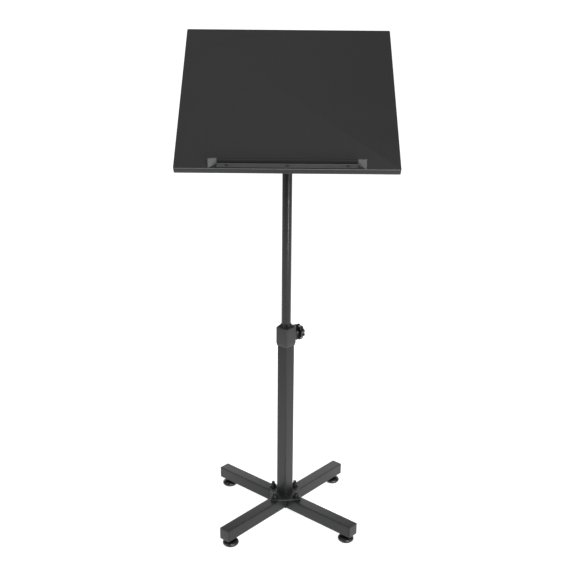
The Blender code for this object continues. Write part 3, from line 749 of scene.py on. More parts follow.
def make_base_welds(shape):
    """Beads where each arm meets the through tube, and round the column's foot."""
    low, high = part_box("base_bar")
    half = (high.z - low.z) / 2
    sink = shape.bead_radius * 0.35
    lines = []
    for side in (-1, 1):
        seam = side * (half + sink)
        flank = half - shape.tube_corner * 0.4
        reach = half + sink * 0.5
        corners = [(-reach, high.z - 0.002), (-reach, low.z - sink * 0.3), (reach, low.z - sink * 0.3)]
        corners.append((reach, high.z - 0.002))
        lines.append([BASE @ Vector((x, seam, z)) for x, z in corners])
        lines.append([BASE @ Vector((x, seam - side * sink, high.z)) for x in (-flank, flank)])
    plate_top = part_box("flange_plate")[1].z
    foot = half + sink
    angles = square_angles(foot, shape.tube_corner + sink, 6, 2)
    loop = ring(square(foot, shape.tube_corner + sink), angles, plate_top + sink)
    lines.append([BASE @ Vector(point) for point in loop + loop[:1]])
    deliver(weld("base_welds", lines, shape, 3), "base", "powder_coat")


def make_end_plugs(shape):
    """Moulded plugs with a crowned face in the four tube ends."""
    for number, leg in enumerate(LEGS):
        node = f"end_cap_{leg}"
        place = leg_place(number)
        low, high = local_box(node, place)
        half = high.x
        step = high.z - shape.plug_flange
        angles = square_angles(half, shape.tube_corner)
        plug = half - shape.tube_wall - GAP
        rings = [
            ring(square(plug - 0.0010, 0.0008), angles, low.z),
            ring(square(plug, 0.0012), angles, low.z + 0.0015),
            ring(square(plug, 0.0012), angles, step),
        ]
        edge = 0.0009
        for z, cut in rounded_wall(step, high.z - 0.0004, edge):
            rings.append(ring(square(half - cut, shape.tube_corner - cut * 0.5), angles, z))
        rings.append(ring(square(half - 0.0035, 0.0020), angles, high.z - 0.00008))
        rings.append(ring(square(half - 0.0070, 0.0030), angles, high.z))
        shells = Shells(place)
        shells.skin(rings)
        deliver(shells.done(f"end_plug_{leg}", ["grained_plastic"]), "base", "black_plastic", node)


def make_flange_plate(shape):
    """The laser-cut plate under the column."""
    corner_place = BASE @ Matrix.Rotation(math.radians(45), 4, "Z")
    low, high = local_box("flange_plate", corner_place)
    half = high.x
    corner = shape.plate_corner
    angles = square_angles(half, corner, 8, 6)
    walls = rounded_wall(low.z, high.z, PLATE_EDGE)
    shells = Shells(corner_place)
    shells.skin([ring(square(half - cut, corner - cut), angles, z) for z, cut in walls])
    deliver(shells.done("column_flange", ["frame_coat"]), "base", "powder_coat", "flange_plate")


def rod_rings(shape, radius, low, high, count=24):
    """Rings of a threaded rod with a chamfered tip at its top."""
    angles = even_angles(count)
    pitch = shape.thread_pitch
    depth = pitch * THREAD_DEPTH
    steps = max(4, round((high - low) / pitch * 4))
    rings = []
    for i in range(steps + 1):
        z = low + (high - low) * i / steps
        tip = min(1.0, (high - z) / TIP_CHAMFER)
        cut = thread(radius, pitch, depth, z)
        limit = radius - depth * (1.0 - tip)
        rings.append(ring(lambda a, cut=cut, limit=limit: min(cut(a), limit), angles, z))
    return rings


def hex_rings(across_flats, low, high, bottom_chamfer, top_chamfer):
    """Rings of a hexagon whose corners are turned off at its ends."""
    angles = even_angles(72)
    corner = across_flats / math.sqrt(3)
    face = across_flats / 2 * CHAMFER_FACE
    shares = (0.0, 0.35, 0.7, 1.0)
    levels = [(low + bottom_chamfer * share, share) for share in shares]
    levels += [(high - top_chamfer * share, share) for share in reversed(shares)]
    return [ring(hexagon(across_flats, face + (corner - face) * share), angles, z) for z, share in levels]


def lock_nut(shape, radius, low, high):
    """A flanged hexagon nut with the rolled collar of its locking ring."""
    flats = shape.hex_flats
    height = high - low
    shoulder = low + height * 0.72
    shells = Shells(BASE)
    angles = even_angles(72)
    flange = shape.nut_flange
    skirt = [(flange - 0.0004, low), (flange, low + 0.0004)]
    skirt += [(flange, low + 0.0010), (flange - 0.0003, low + 0.0014)]
    body = [ring(circle(r), angles, z) for r, z in skirt]
    body += hex_rings(flats, low + 0.0022, shoulder, 0.0002, 0.0010)
    collar = [(0.0058, shoulder + 0.0002), (0.0057, high - 0.0009), (0.0053, high - 0.0002)]
    collar += [(0.0050, high), (radius + 0.0005, high), (radius + 0.0003, high - 0.0010)]
    body += [ring(circle(r), angles, z) for r, z in collar]
    body += [ring(circle(radius + 0.0001), angles, z) for z in (high - 0.0014, low)]
    shells.skin(body, loop=True)
    return shells.done("lock_nut_shape", [])


def hex_bolt(name, place, shape, head_low, head_high, end, plain, finishes):
    """A hexagon bolt along Z: a chamfered head, a plain shank and a thread."""
    shells = Shells(place)
    shells.skin(hex_rings(shape.hex_flats, head_low, head_high, 0.0009, 0.0002))
    shells.turn([(shape.m8_radius, head_high - 0.001), (shape.m8_radius, plain)], 24)
    shells.skin(rod_rings(shape, shape.m8_radius, plain - 0.0005, end))
    return shells.done(name, finishes)


def make_base_bolts(shape):
    """Four bolts up through tube and plate, and their lock nuts."""
    bolts = [f"base_bolt_{leg}" for leg in LEGS]
    nuts = [f"base_nut_{leg}" for leg in LEGS]
    points = [upright_place(node).translation for node in bolts]
    low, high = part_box(bolts[0])
    nut_low, nut_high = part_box(nuts[0])
    head_high = low.z + shape.head_height
    template = hex_bolt("bolt_shape", BASE, shape, low.z, head_high, high.z, nut_low.z, [])
    piece = copies("base_bolts", template, points, "black_oxide")
    deliver(piece, "base", "black_steel", *bolts)
    nut = lock_nut(shape, shape.m8_radius, nut_low.z, nut_high.z)
    piece = copies("base_lock_nuts", nut, points, "black_oxide")
    deliver(piece, "base", "black_steel", *nuts)


def make_feet(shape):
    """Levelling feet: a glossy disc on a threaded stud, over a rubber sole."""
    for leg in LEGS:
        disc = f"foot_disc_{leg}"
        stud = f"foot_stud_{leg}"
        sole = f"foot_sole_{leg}"
        place = upright_place(disc)
        low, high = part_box(disc)
        radius = (high.x - low.x) / 2
        top = high.z
        neck = shape.neck_radius
        rim = low.z + 0.0024
        dome = [
            (neck + (radius - neck) * math.cos(a), rim + (top - 0.0045 - rim) * math.sin(a))
            for a in (math.radians(12 * step) for step in range(8))
        ]
        outer = fillet(
            [(radius - 0.0035, low.z), (radius - 0.0006, low.z), (radius, low.z + 0.0009), (radius, rim)],
            0.0006,
        )
        collar = fillet(
            [dome[-1], (neck, top - 0.0041), (neck, top), (neck - 0.0012, top), (0.0043, top - 0.0009)],
            0.0007,
        )
        shells = Shells(place)
        shells.turn(outer + dome[1:-1] + collar + [(0.0043, top - 0.0060)], 64)
        piece = shells.done(f"levelling_disc_{leg}", ["gloss_plastic"], 50)
        deliver(piece, f"foot_{leg}", "gloss_plastic", disc)
        stud_low, stud_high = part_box(stud)
        shells = Shells(place)
        shells.skin(rod_rings(shape, shape.m8_radius, stud_low.z, stud_high.z, 20))
        deliver(shells.done(f"levelling_stud_{leg}", ["zinc_plate"]), f"foot_{leg}", "zinc_steel", stud)
        sole_low, sole_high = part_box(sole)
        reach = (sole_high.x - sole_low.x) / 2
        thick = sole_high.z
        profile = [(reach * 0.30, 0.0005), (reach * 0.34, 0.0), (reach * 0.56, 0.0)]
        profile += [(reach * 0.60, 0.0005), (reach * 0.64, 0.0), (reach - 0.0006, 0.0)]
        profile += [(reach, 0.0006), (reach, thick - 0.0005), (reach - 0.0004, thick)]
        shells = Shells(place)
        shells.turn(profile, 64)
        piece = shells.done(f"rubber_sole_{leg}", ["sole_rubber"])
        deliver(piece, f"foot_sole_{leg}", "rubber", sole)


# Column, collar and height clamp


def make_column(shape):
    """The square column."""
    square_tube("column", "column_tube", BASE, shape, "frame_coat", "base")


def make_collar(shape):
    """The moulded cap on the column, with its cone, its bore and the boss for the clamp."""
    low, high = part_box("collar")
    column_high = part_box("column_tube")[1]
    half = shape.collar_side / 2
    corner = shape.collar_corner
    top = high.z - shape.cone_height
    foot = half - shape.collar_step
    angles = square_angles(half, corner, 8, 6)
    round_top = shape.collar_rounding
    rings = [
        ring(square(foot - 0.0003, corner), angles, low.z),
        ring(square(foot, corner), angles, low.z + 0.0004),
        ring(square(half - 0.0002, corner), angles, low.z + shape.collar_taper - 0.0006),
        ring(square(half, corner), angles, low.z + shape.collar_taper + 0.0006),
    ]
    for z, cut in rounded_wall(low.z, top, round_top, 5)[6:]:
        rings.append(ring(square(half - cut, corner), angles, z))
    hip = square(half - shape.hip_inset, corner)
    for share in (0.0, 0.08, 0.25, 0.45, 0.65, 0.85):
        rise = top + 0.0003 + (high.z - 0.0010 - top) * share
        rings.append(ring(between(hip, circle(shape.cone_top_radius), share), angles, rise))
    cone = fillet(
        [
            (shape.cone_top_radius + 0.0002, high.z - 0.0006),
            (shape.cone_top_radius - 0.0002, high.z),
            (shape.bore_radius + 0.0002, high.z),
            (shape.bore_radius, high.z - 0.0006),
            (shape.bore_radius, column_high.z + GAP),
        ],
        0.0004,
        2,
    )
    rings += [ring(circle(r), angles, z) for r, z in cone]
    socket = square(local_box("column_tube", BASE)[1].x + GAP, shape.tube_corner)
    rings += [ring(socket, angles, z) for z in (column_high.z + GAP, low.z)]
    shells = Shells(BASE)
    shells.skin(rings, loop=True)
    # Faces high on the collar take the gloss plastic: a glossier top, whose darker colour is painted shade on the
    # collar's top and cone.
    for face in shells.work.faces:
        above = min(vert.co.z for vert in face.verts) > top - round_top / 2
        face.material_index = 1 if above else 0
    piece = shells.done("column_collar", ["grained_plastic", "gloss_plastic"], 42)
    bore(piece, CLAMP, shape.clamp_hole, column_high.x / 2, half + shape.boss_radius, 42)
    deliver(piece, "base", "black_plastic", "collar")
    boss = Shells(CLAMP)
    end = local_box("collar", CLAMP)[1].z
    root = half - 0.0006
    profile = fillet(
        [
            (shape.boss_radius + 0.0016, root),
            (shape.boss_radius + 0.0002, root + 0.0018),
            (shape.boss_radius, end),
            (0.0061, end),
            (0.0061, root),
        ],
        0.0008,
    )
    boss.turn(profile, 64, loop=True)
    deliver(boss.done("clamp_boss", ["gloss_plastic"], 42), "base", "black_plastic")


def knob_rings(shape, low, high):
    """Rings of a star knob: a round hub, a lobed grip and a dished face."""
    angles = even_angles(shape.knob_lobes * 16)
    hub = low + shape.hub_length
    radius = shape.knob_radius
    lobes = shape.knob_lobes
    round_off = shape.knob_rounding
    profile = [
        (shape.hub_radius - 0.0006, low, 0.0),
        (shape.hub_radius - 0.0001, low + 0.0004, 0.0),
        (shape.hub_radius, low + 0.0010, 0.0),
        (shape.hub_radius - 0.0002, hub - 0.0014, 0.0),
        (shape.hub_radius + 0.0004, hub - 0.0004, 0.0),
        (shape.hub_radius + 0.0016, hub, 0.0),
        (radius - 0.0075, hub, 0.2),
    ]
    walls = rounded_wall(hub, high - 0.0002, round_off, 5)
    profile += [(radius - cut, z, 1.0 - 0.35 * cut / round_off) for z, cut in walls]
    profile += [
        (radius - 0.0042, high - 0.0003, 0.45),
        (radius - 0.0058, high - 0.0008, 0.25),
        (radius - 0.0070, high - 0.0011, 0.1),
        (radius - 0.0085, high - 0.0011, 0.0),
        (radius - 0.0092, high - 0.0006, 0.0),
        (radius - 0.0098, high - 0.0001, 0.0),
        (radius - 0.0110, high, 0.0),
    ]
    return [ring(lobed(r, lobes, shape.knob_flute * share), angles, z) for r, z, share in profile]


def star_knob(name, place, shape, body, *nodes):
    """A star knob at the end of a place's screw."""
    low, high = local_box(nodes[0], place)
    shells = Shells(place)
    shells.skin(knob_rings(shape, low.z, high.z))
    deliver(shells.done(name, ["gloss_plastic"], 50), body, "gloss_plastic", *nodes)


def make_clamp(shape):
    """The height clamp's star knob on its threaded stud."""
    star_knob("height_knob", CLAMP, shape, "clamp_knob", "clamp_knob")
    low, high = local_box("clamp_stud", CLAMP)
    shells = Shells(CLAMP)
    shells.skin(rod_rings(shape, shape.m8_radius, low.z, high.z))
    piece = shells.done("height_stud", ["zinc_plate"])
    deliver(piece, "clamp_knob", "zinc_steel", "clamp_stud")


# Post and head


def make_post(shape):
    """The round sliding post."""
    low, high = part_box("upper_post")
    radius = (high.x - low.x) / 2
    bore = radius - shape.tube_wall
    profile = [(radius - cut, z) for z, cut in rounded_wall(low.z, high.z, SAWN_EDGE, 2)]
    profile += [(bore, high.z), (bore, low.z)]
    shells = Shells()
    shells.turn(profile, 96, loop=True)
    deliver(shells.done("sliding_post", ["post_coat"]), "post", "powder_coat", "upper_post")


def upright_ear(place, x):
    """The frame of an ear across the pivot: its plane is Y and Z, and its thickness is along X."""
    axes = Matrix(((0, 0, 1, 0), (1, 0, 0, 0), (0, 1, 0, 0), (0, 0, 0, 1)))
    return place @ Matrix.Translation((x, 0, 0)) @ axes


def add_plate(shells, place, outline, low, high):
    """Adds a plate that stands in a frame of its own."""
    part = Shells()
    part.plate(outline, low, high)
    part.work.transform(place)
    mesh = free_to_mesh(part.work, "part")
    shells.work.from_mesh(mesh)
    bpy.data.meshes.remove(mesh)


def make_head_yoke(shape):
    """The U-bracket welded on the post."""
    low, high = local_box("head_yoke", PIVOT)
    half = high.y
    thick = shape.yoke_thickness
    outline = [(-half, low.z), (half, low.z)] + arc((0, 0), half, 0, 180, 24)
    shells = Shells()
    for side in (-1, 1):
        middle = side * (high.x - thick / 2)
        add_plate(shells, upright_ear(PIVOT, middle), outline, -thick / 2, thick / 2)
    web = [(low.x, -half), (high.x, -half), (high.x, half), (low.x, half)]
    add_plate(shells, PIVOT, web, low.z, low.z + thick)
    piece = shells.done("post_head", ["post_coat"], 30)
    deliver(piece, "post", "powder_coat", "head_yoke")
    post_low, post_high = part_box("upper_post")
    radius = (post_high.x - post_low.x) / 2
    loop = ring(circle(radius + GAP), even_angles(48), post_high.z - 0.0002)
    inner = high.x - thick - GAP
    level = PIVOT.translation.z + low.z + thick + 0.0002
    seams = [[(side * inner, y, level) for y in (-half * 0.9, half * 0.9)] for side in (-1, 1)]
    piece = weld("head_welds", [loop + loop[:1]] + seams, shape, 7)
    deliver(piece, "post", "powder_coat")


def ear_outline(root, root_half, radius):
    """An ear that hangs from a root line and ends in a round about the pivot."""
    root_angle = 180 - math.degrees(math.atan2(root, root_half))
    tangent = root_angle + math.degrees(math.acos(radius / math.hypot(root_half, root)))
    rounded_end = arc((0, 0), radius, tangent, 540 - tangent, 20)
    return [(-root_half, root)] + rounded_end + [(root_half, root)]


def screw_ends(nodes, end):
    """Where screws in the board have their low end, 0, or their high end, 1."""
    boxes = [local_box(node, TILT) for node in nodes]
    level = boxes[0][end].z
    return [TILT @ Vector(((a.x + b.x) / 2, (a.y + b.y) / 2, level)) for a, b in boxes]


def screw_head(shells, radius, low, high, recess):
    """A turned head with a cross recess in its top."""
    angles = even_angles(48)
    dome = [(radius * math.cos(a), low + (high - low) * math.sin(a)) for a in (0.0, 0.4, 0.8, 1.15)]
    rings = [ring(circle(r), angles, z) for r, z in dome]
    rings.append(ring(cross(recess, recess * 0.28), angles, high))
    rings.append(ring(cross(recess * 0.7, recess * 0.22), angles, high - recess * 0.6))
    shells.skin(rings)


def make_tilt_bracket(shape):
    """The bracket under the board, its welds and its four screws."""
    low, high = local_box("tilt_bracket", TILT)
    thick = shape.bracket_thickness
    corner = 0.005
    outline = []
    for quarter, (x, y) in enumerate(((1, 1), (-1, 1), (-1, -1), (1, -1))):
        centre = (x * (high.x - corner), y * (high.y - corner))
        outline += arc(centre, corner, 90 * quarter, 90 * quarter + 90, 6)
    shells = Shells()
    add_plate(shells, TILT, outline, high.z - thick, high.z)
    root = high.z - thick / 2
    ear = ear_outline(root, shape.ear_root, -low.z)
    inner = local_box("pivot_washer_right", TILT)[1].x + GAP
    for side in (-1, 1):
        middle = side * (inner + thick / 2)
        add_plate(shells, upright_ear(TILT, middle), ear, -thick / 2, thick / 2)
    piece = shells.done("board_bracket", ["frame_coat"], 30)
    deliver(piece, "board", "powder_coat", "tilt_bracket")
    seams = []
    level = high.z - thick - 0.0002
    for side in (-1, 1):
        x = side * (inner + thick + GAP)
        seams.append([TILT @ Vector((x, y, level)) for y in (-shape.ear_root * 0.9, shape.ear_root * 0.9)])
    deliver(weld("bracket_welds", seams, shape, 11), "board", "powder_coat")
    nodes = [f"bracket_screw_{number}" for number in (1, 2, 3, 4)]
    points = screw_ends(nodes, 0)
    shells = Shells(TILT.to_3x3().to_4x4() @ Matrix.Rotation(math.pi, 4, "X"))
    screw_head(shells, 0.0040, -0.0022, 0.0, 0.0021)
    shells.turn([(0.0020, -0.012), (0.0020, -0.0020)], 24)
    template = shells.done("pan_head_shape", [])
    piece = copies("bracket_screws", template, points, "zinc_plate")
    deliver(piece, "board", "zinc_steel", *nodes)


def make_tilt_pivot(shape):
    """The pivot bolt, its washers and the tilt knob."""
    low, high = local_box("pivot_bolt", TILT_SCREW)
    head_high = low.z + shape.head_height
    thread_length = 0.022
    plain = high.z - thread_length
    piece = hex_bolt("pivot_screw", TILT_SCREW, shape, low.z, head_high, high.z, plain, ["black_oxide"])
    deliver(piece, "board", "black_steel", "pivot_bolt")
    washers = (
        ("pivot_washer_left", "board", "nylon", "nylon"),
        ("pivot_washer_right", "board", "nylon", "nylon"),
        ("tilt_washer", "tilt_washer", "zinc_plate", "zinc_steel"),
    )
    for node, body, finish, slot in washers:
        low, high = local_box(node, TILT_SCREW)
        profile = [(high.x - cut, z) for z, cut in rounded_wall(low.z, high.z, 0.0003)]
        profile += [(shape.m8_radius + GAP, high.z), (shape.m8_radius + GAP, low.z)]
        shells = Shells(TILT_SCREW)
        shells.turn(profile, 48, loop=True)
        deliver(shells.done(f"{node}_ring", [finish]), body, slot, node)
    star_knob("tilt_grip", TILT_SCREW, shape, "tilt_knob", "tilt_knob", "tilt_knob_nut")


# Board and edge stopper


def make_board(shape):
    """The flat board: laminate on both faces and a band round its edge."""
    low, high = local_box("board_panel", TILT)
    middle = (low + high) / 2
    size = high - low
    work = bmesh.new()
    stretch = Matrix.Translation(middle) @ Matrix.Diagonal((*size, 1.0))
    bmesh.ops.create_cube(work, size=1.0, matrix=stretch)
    upright = [edge for edge in work.edges if abs(edge.verts[0].co.z - edge.verts[1].co.z) > 0.001]
    bmesh.ops.bevel(work, geom=upright, offset=shape.board_corner, segments=6, profile=0.5, affect="EDGES")
    arris = [edge for edge in work.edges if edge.is_manifold and edge.calc_face_angle() > 1.0]
    bmesh.ops.bevel(work, geom=arris, offset=shape.board_edge, segments=3, profile=0.5, affect="EDGES")
    # Flat faces take the skin, upright faces the band, and the rounded arrises the lighter arris colour, a painted
    # highlight.
    for face in work.faces:
        lean = abs(face.normal.z)
        face.material_index = 0 if lean > 0.95 else 1 if lean < 0.15 else 2
    shells = Shells(TILT)
    shells.work.from_mesh(free_to_mesh(work, "board"))
    piece = shells.done("board", ["board_skin", "board_band", "board_arris"], 40)
    deliver(piece, "board", "black_laminate", "board_panel")


def strip_outline(path, thickness):
    """The closed section of a bent sheet round the middle line of its (y, z) bends."""
    sides = [[], []]
    for i, here in enumerate(path):
        before = Vector(path[max(i - 1, 0)])
        after = Vector(path[min(i + 1, len(path) - 1)])
        way = (after - before).normalized()
        normal = Vector((-way.y, way.x)) * thickness / 2
        sides[0].append(tuple(Vector(here) + normal))
        sides[1].append(tuple(Vector(here) - normal))
    return sides[0] + sides[1][::-1]


def make_edge_stopper(shape):
    """The bent sheet along the board's lower edge, with a splayed wing at each end, and its screws."""
    high = local_box("edge_stopper", TILT)[1]
    board_low, board_high = local_box("board_panel", TILT)
    sheet = shape.sheet_thickness
    bend = shape.sheet_bend + sheet / 2
    front = board_low.y + shape.flange_from
    lip = board_low.y + shape.lip_at
    foot = board_high.z + GAP + sheet / 2
    top = high.z
    half = shape.stopper_straight / 2
    end = high.x
    path = [(front, foot), (front + 0.004, foot)]
    path += arc((lip - bend, foot + bend), bend, -90, 0, 8)
    path += [(lip, foot + bend + 0.004), (lip, top - 0.0004)]
    section = strip_outline(path, sheet)
    stations = [(-half, 0.0004), (-half + 0.0003, 0.0), (half - 0.0003, 0.0), (half, 0.0004)]
    shells = Shells(TILT)
    middle = foot + (top - foot) / 2
    shells.skin([[(x, y, z + cut * (middle - z) * 8) for y, z in section] for x, cut in stations])
    for side in (-1, 1):
        rings = []
        for i in range(13):
            share = i / 12
            x = side * (half - 0.0006 + (end - half + 0.0006) * share)
            lean = share * share * (3 - 2 * share) * 0.35 + share * 0.65
            round_off = 0.0004 if i in (0, 12) else 0.0
            foot_y = lip - shape.wing_foot * lean
            top_y = lip - shape.wing_top * lean
            base = foot - sheet / 2
            line = [(foot_y, base + 0.0001), (foot_y * 0.5 + top_y * 0.5, (base + top) / 2), (top_y, top)]
            half_sheet = sheet / 2 - round_off
            ring_points = [(x, y - half_sheet, z) for y, z in line]
            ring_points += [(x, top_y, top + 0.0003)]
            ring_points += [(x, y + half_sheet, z) for y, z in reversed(line)]
            rings.append(ring_points)
        # The wings take the lighter coat: painted light.
        shells.skin(rings, finish=1)
    # The flange's flat faces take the lighter coat too: painted light on the flange in front of the lip.
    shells.work.normal_update()
    for face in shells.work.faces:
        if abs(face.normal.z) > 0.6 and face.calc_center_median().z < foot + sheet:
            face.material_index = 1
    piece = shells.done("edge_stopper_sheet", ["lip_coat", "rubbed_coat"], 32)
    deliver(piece, "board", "powder_coat", "edge_stopper")
    nodes = [f"stopper_screw_{number}" for number in (1, 2, 3)]
    points = screw_ends(nodes, 1)
    shells = Shells(TILT.to_3x3().to_4x4())
    angles = even_angles(48)
    rings = [ring(circle(0.0017), angles, -0.0016), ring(circle(0.0030), angles, -0.0001)]
    rings += [ring(circle(0.0029), angles, 0.00008), ring(cross(0.0018, 0.0005), angles, 0.00008)]
    rings += [ring(cross(0.0012, 0.0004), angles, -0.0010)]
    shells.skin(rings)
    template = shells.done("flat_head_shape", [])
    piece = copies("stopper_screws", template, points, "black_oxide")
    deliver(piece, "board", "black_steel", *nodes)


def paint_inner_parts():
    """Materials for the frame's own nodes that stay: the parts inside tubes and knobs."""
    inner = {
        "zinc_plate": [f"foot_nut_{leg}" for leg in LEGS] + ["guide_screw"],
        "brass": ["clamp_nut"],
        "nylon": ["clamp_pad", "post_guide", "post_plug"],
    }
    for finish, nodes in inner.items():
        for node in nodes:
            materials = FRAME["nodes"][node].data.materials
            materials.clear()
            materials.append(FINISHES[finish])


# Stage


def make_floor(stage):
    """A pale sweep: a floor that curves up into a wall behind."""
    reach = 9.0
    bend = 4.0
    profile = [(-5.0, 0.0), (reach - bend - 0.1, 0.0)]
    profile += arc((reach - bend, bend), bend, -90, 0, 40)
    profile += [(reach, reach)]
    work = bmesh.new()
    rows = [[work.verts.new((x, y, z)) for y, z in profile] for x in (-reach, reach)]
    for i in range(len(profile) - 1):
        work.faces.new((rows[0][i], rows[0][i + 1], rows[1][i + 1], rows[1][i]))
    bmesh.ops.recalc_face_normals(work, faces=work.faces)
    mesh = free_to_mesh(work, "sweep")
    mesh.shade_smooth()
    mesh.materials.append(floor_finish("sweep_paint", stage.floor_colour, stage.floor_glow))
    sweep = new_object("sweep", mesh)


def add_light(name, location, target, size, power):
    """A soft box that faces a point and that the camera doesn't see."""
    light = bpy.data.lights.new(name, "AREA")
    light.shape = "RECTANGLE"
    light.size, light.size_y = size
    light.energy = power
    lamp = new_object(name, light)
    lamp.location = location
    aim = Vector(target) - Vector(location)
    lamp.rotation_euler = aim.to_track_quat("-Z", "Y").to_euler()
    lamp.visible_camera = False


def make_lights(stage):
    """Soft boxes all round, a low strip that draws on the post, and a world that only looks white."""
    add_light("overhead", (-0.5, -0.1, 3.2), (0, 0, 0.6), (2.2, 2.2), stage.overhead_power)
    add_light("front_box", (0.9, -3.0, 2.3), (0, 0, 0.8), (1.8, 0.8), stage.front_power)
    add_light("back_box", (0.0, 2.9, 2.4), (0, 0, 0.3), (3.0, 1.4), stage.back_power)
    add_light("left_box", (-2.6, -1.7, 1.7), (0, 0, 0.7), (1.2, 1.8), stage.left_power)
    add_light("right_box", (2.7, -1.2, 1.5), (0, 0, 0.6), (1.2, 1.8), stage.right_power)
    add_light("strip", (1.66, -2.37, 0.45), (0, 0, 0.7), (0.24, 0.8), stage.strip_power)
    world = bpy.data.worlds.new("pale_room")
    world.use_nodes = True
    world.node_tree.nodes.clear()
    graph = Graph(world.node_tree)
    seen = graph.node("ShaderNodeLightPath", output="Is Camera Ray")
    strength = seen * (1.0 - stage.world_strength) + stage.world_strength
    sky = graph.node(
        "ShaderNodeBackground", None, {"Color": (1.0, 1.0, 1.0, 1.0), "Strength": strength}
    )
    graph.node("ShaderNodeOutputWorld", None, {"Surface": sky})
    bpy.context.scene.world = world


def make_camera(stage):
    """The camera at the reader's side."""
    lens = bpy.data.cameras.new("camera")
    lens.lens = stage.focal_length
    lens.sensor_width = 36.0
    camera = new_object("camera", lens)
    pitch = Matrix.Rotation(math.pi / 2 - stage.camera_pitch, 4, "X")
    roll = Matrix.Rotation(stage.camera_roll, 4, "Z")
    camera.matrix_world = Matrix.Translation(stage.camera_location) @ pitch @ roll
    bpy.context.scene.camera = camera


# Add-on


def length(name, description, default):
    """A size that a user can change."""
    return bpy.props.FloatProperty(
        name=name, description=description, default=default, min=0.0, precision=5, unit="LENGTH"
    )


def colour(name, description, default):
    """A colour that a user can change."""
    return bpy.props.FloatVectorProperty(
        name=name, description=description, default=default, size=3, min=0.0, max=1.0, subtype="COLOR"
    )


def factor(name, description, default):
    """A number from 0 to 1 that a user can change."""
    return bpy.props.FloatProperty(
        name=name, description=description, default=default, min=0.0, max=1.0, subtype="FACTOR"
    )


def power(name, description, default):
    """A light's power that a user can change."""
    return bpy.props.FloatProperty(
        name=name, description=description, default=default, min=0.0, unit="POWER"
    )


def angle(name, description, default_deg):
    """An angle that a user can change."""
    return bpy.props.FloatProperty(
        name=name, description=description, default=math.radians(default_deg), subtype="ANGLE"
    )


class StandShape(bpy.types.PropertyGroup):
    """Sizes that the frame doesn't fix."""

    tube_corner: length("Tube corner", "Outer corner radius of the square tube", 0.0018)
    tube_wall: length("Tube wall", "Wall of the square and round tubes", 0.0012)
    plug_flange: length("Plug flange", "Thickness of an end plug outside its tube", 0.0025)
    plate_corner: length("Plate corner", "Corner radius of the column's flange", 0.0040)
    bead_radius: length("Weld radius", "Radius of a weld bead", 0.0013)
    bead_spacing: length("Weld ripple", "Distance from one weld ripple to the next", 0.0008)
    m8_radius: length("Screw radius", "Outer radius of the M8 screws", 0.0040)
    hex_flats: length("Hexagon", "Across the flats of the M8 heads and nuts", 0.0130)
    nut_flange: length("Nut flange", "Radius of a lock nut's flange", 0.0088)
    head_height: length("Head height", "Height of an M8 hexagon head", 0.0053)
    thread_pitch: length("Thread pitch", "Rise of the M8 thread in one turn", 0.00125)
    neck_radius: length("Foot neck", "Radius of a levelling foot's neck", 0.0062)
    collar_side: length("Collar side", "Width of the collar", 0.0330)
    collar_corner: length("Collar corner", "Corner radius of the collar", 0.0020)
    collar_taper: length("Collar taper", "Height of the taper at the collar's foot", 0.0070)
    collar_step: length("Collar step", "How far the collar narrows at its foot", 0.0013)
    collar_rounding: length("Collar rounding", "Rounding of the collar's shoulder", 0.0011)
    cone_height: length("Cone height", "Height of the cone on the collar", 0.0080)
    hip_inset: length("Cone inset", "Collar's edge to the foot of the cone on it", 0.0012)
    cone_top_radius: length("Cone top radius", "Radius of the cone's top", 0.0120)
    bore_radius: length("Collar bore", "Radius of the hole that guides the post", 0.0113)
    boss_radius: length("Boss radius", "Radius of the boss that holds the clamp's thread", 0.0085)
    clamp_hole: length("Clamp hole", "Radius of the stud's hole in the collar", 0.0044)
    knob_radius: length("Knob radius", "Outer radius of the star knobs", 0.0195)
    knob_flute: length("Knob flute", "Depth of the valleys between a knob's lobes", 0.0022)
    knob_rounding: length("Knob rounding", "Rounding of a knob's rim", 0.0022)
    knob_lobes: bpy.props.IntProperty(
        name="Knob lobes", description="Number of lobes on a star knob", default=10, min=3, max=16
    )
    hub_radius: length("Hub radius", "Radius of a knob's hub", 0.0078)
    hub_length: length("Hub length", "Length of a knob's hub", 0.0130)
    yoke_thickness: length("Head thickness", "Sheet thickness of the post's head", 0.0030)
    bracket_thickness: length("Bracket thickness", "Sheet thickness of the board's bracket", 0.0025)
    ear_root: length("Ear root", "Half the width of a bracket ear at its root", 0.0220)
    board_edge: length("Board arris", "Rounding of the board's long edges", 0.0012)
    board_corner: length("Board corner", "Corner radius of the board", 0.0025)
    sheet_thickness: length("Stopper sheet", "Thickness of the edge stopper's sheet", 0.0015)
    sheet_bend: length("Stopper bend", "Inner radius of the edge stopper's bend", 0.0010)
    stopper_straight: length("Stopper length", "Length of the edge stopper between its wings", 0.2780)
    flange_from: length("Flange start", "Board's lower edge to the stopper's flange", 0.0020)
    lip_at: length("Lip place", "Board's lower edge to the stopper's lip", 0.0125)
    wing_foot: length("Wing foot", "How far a wing's foot splays to the reader", 0.0105)
    wing_top: length("Wing top", "How far a wing's top edge splays to the reader", 0.0008)


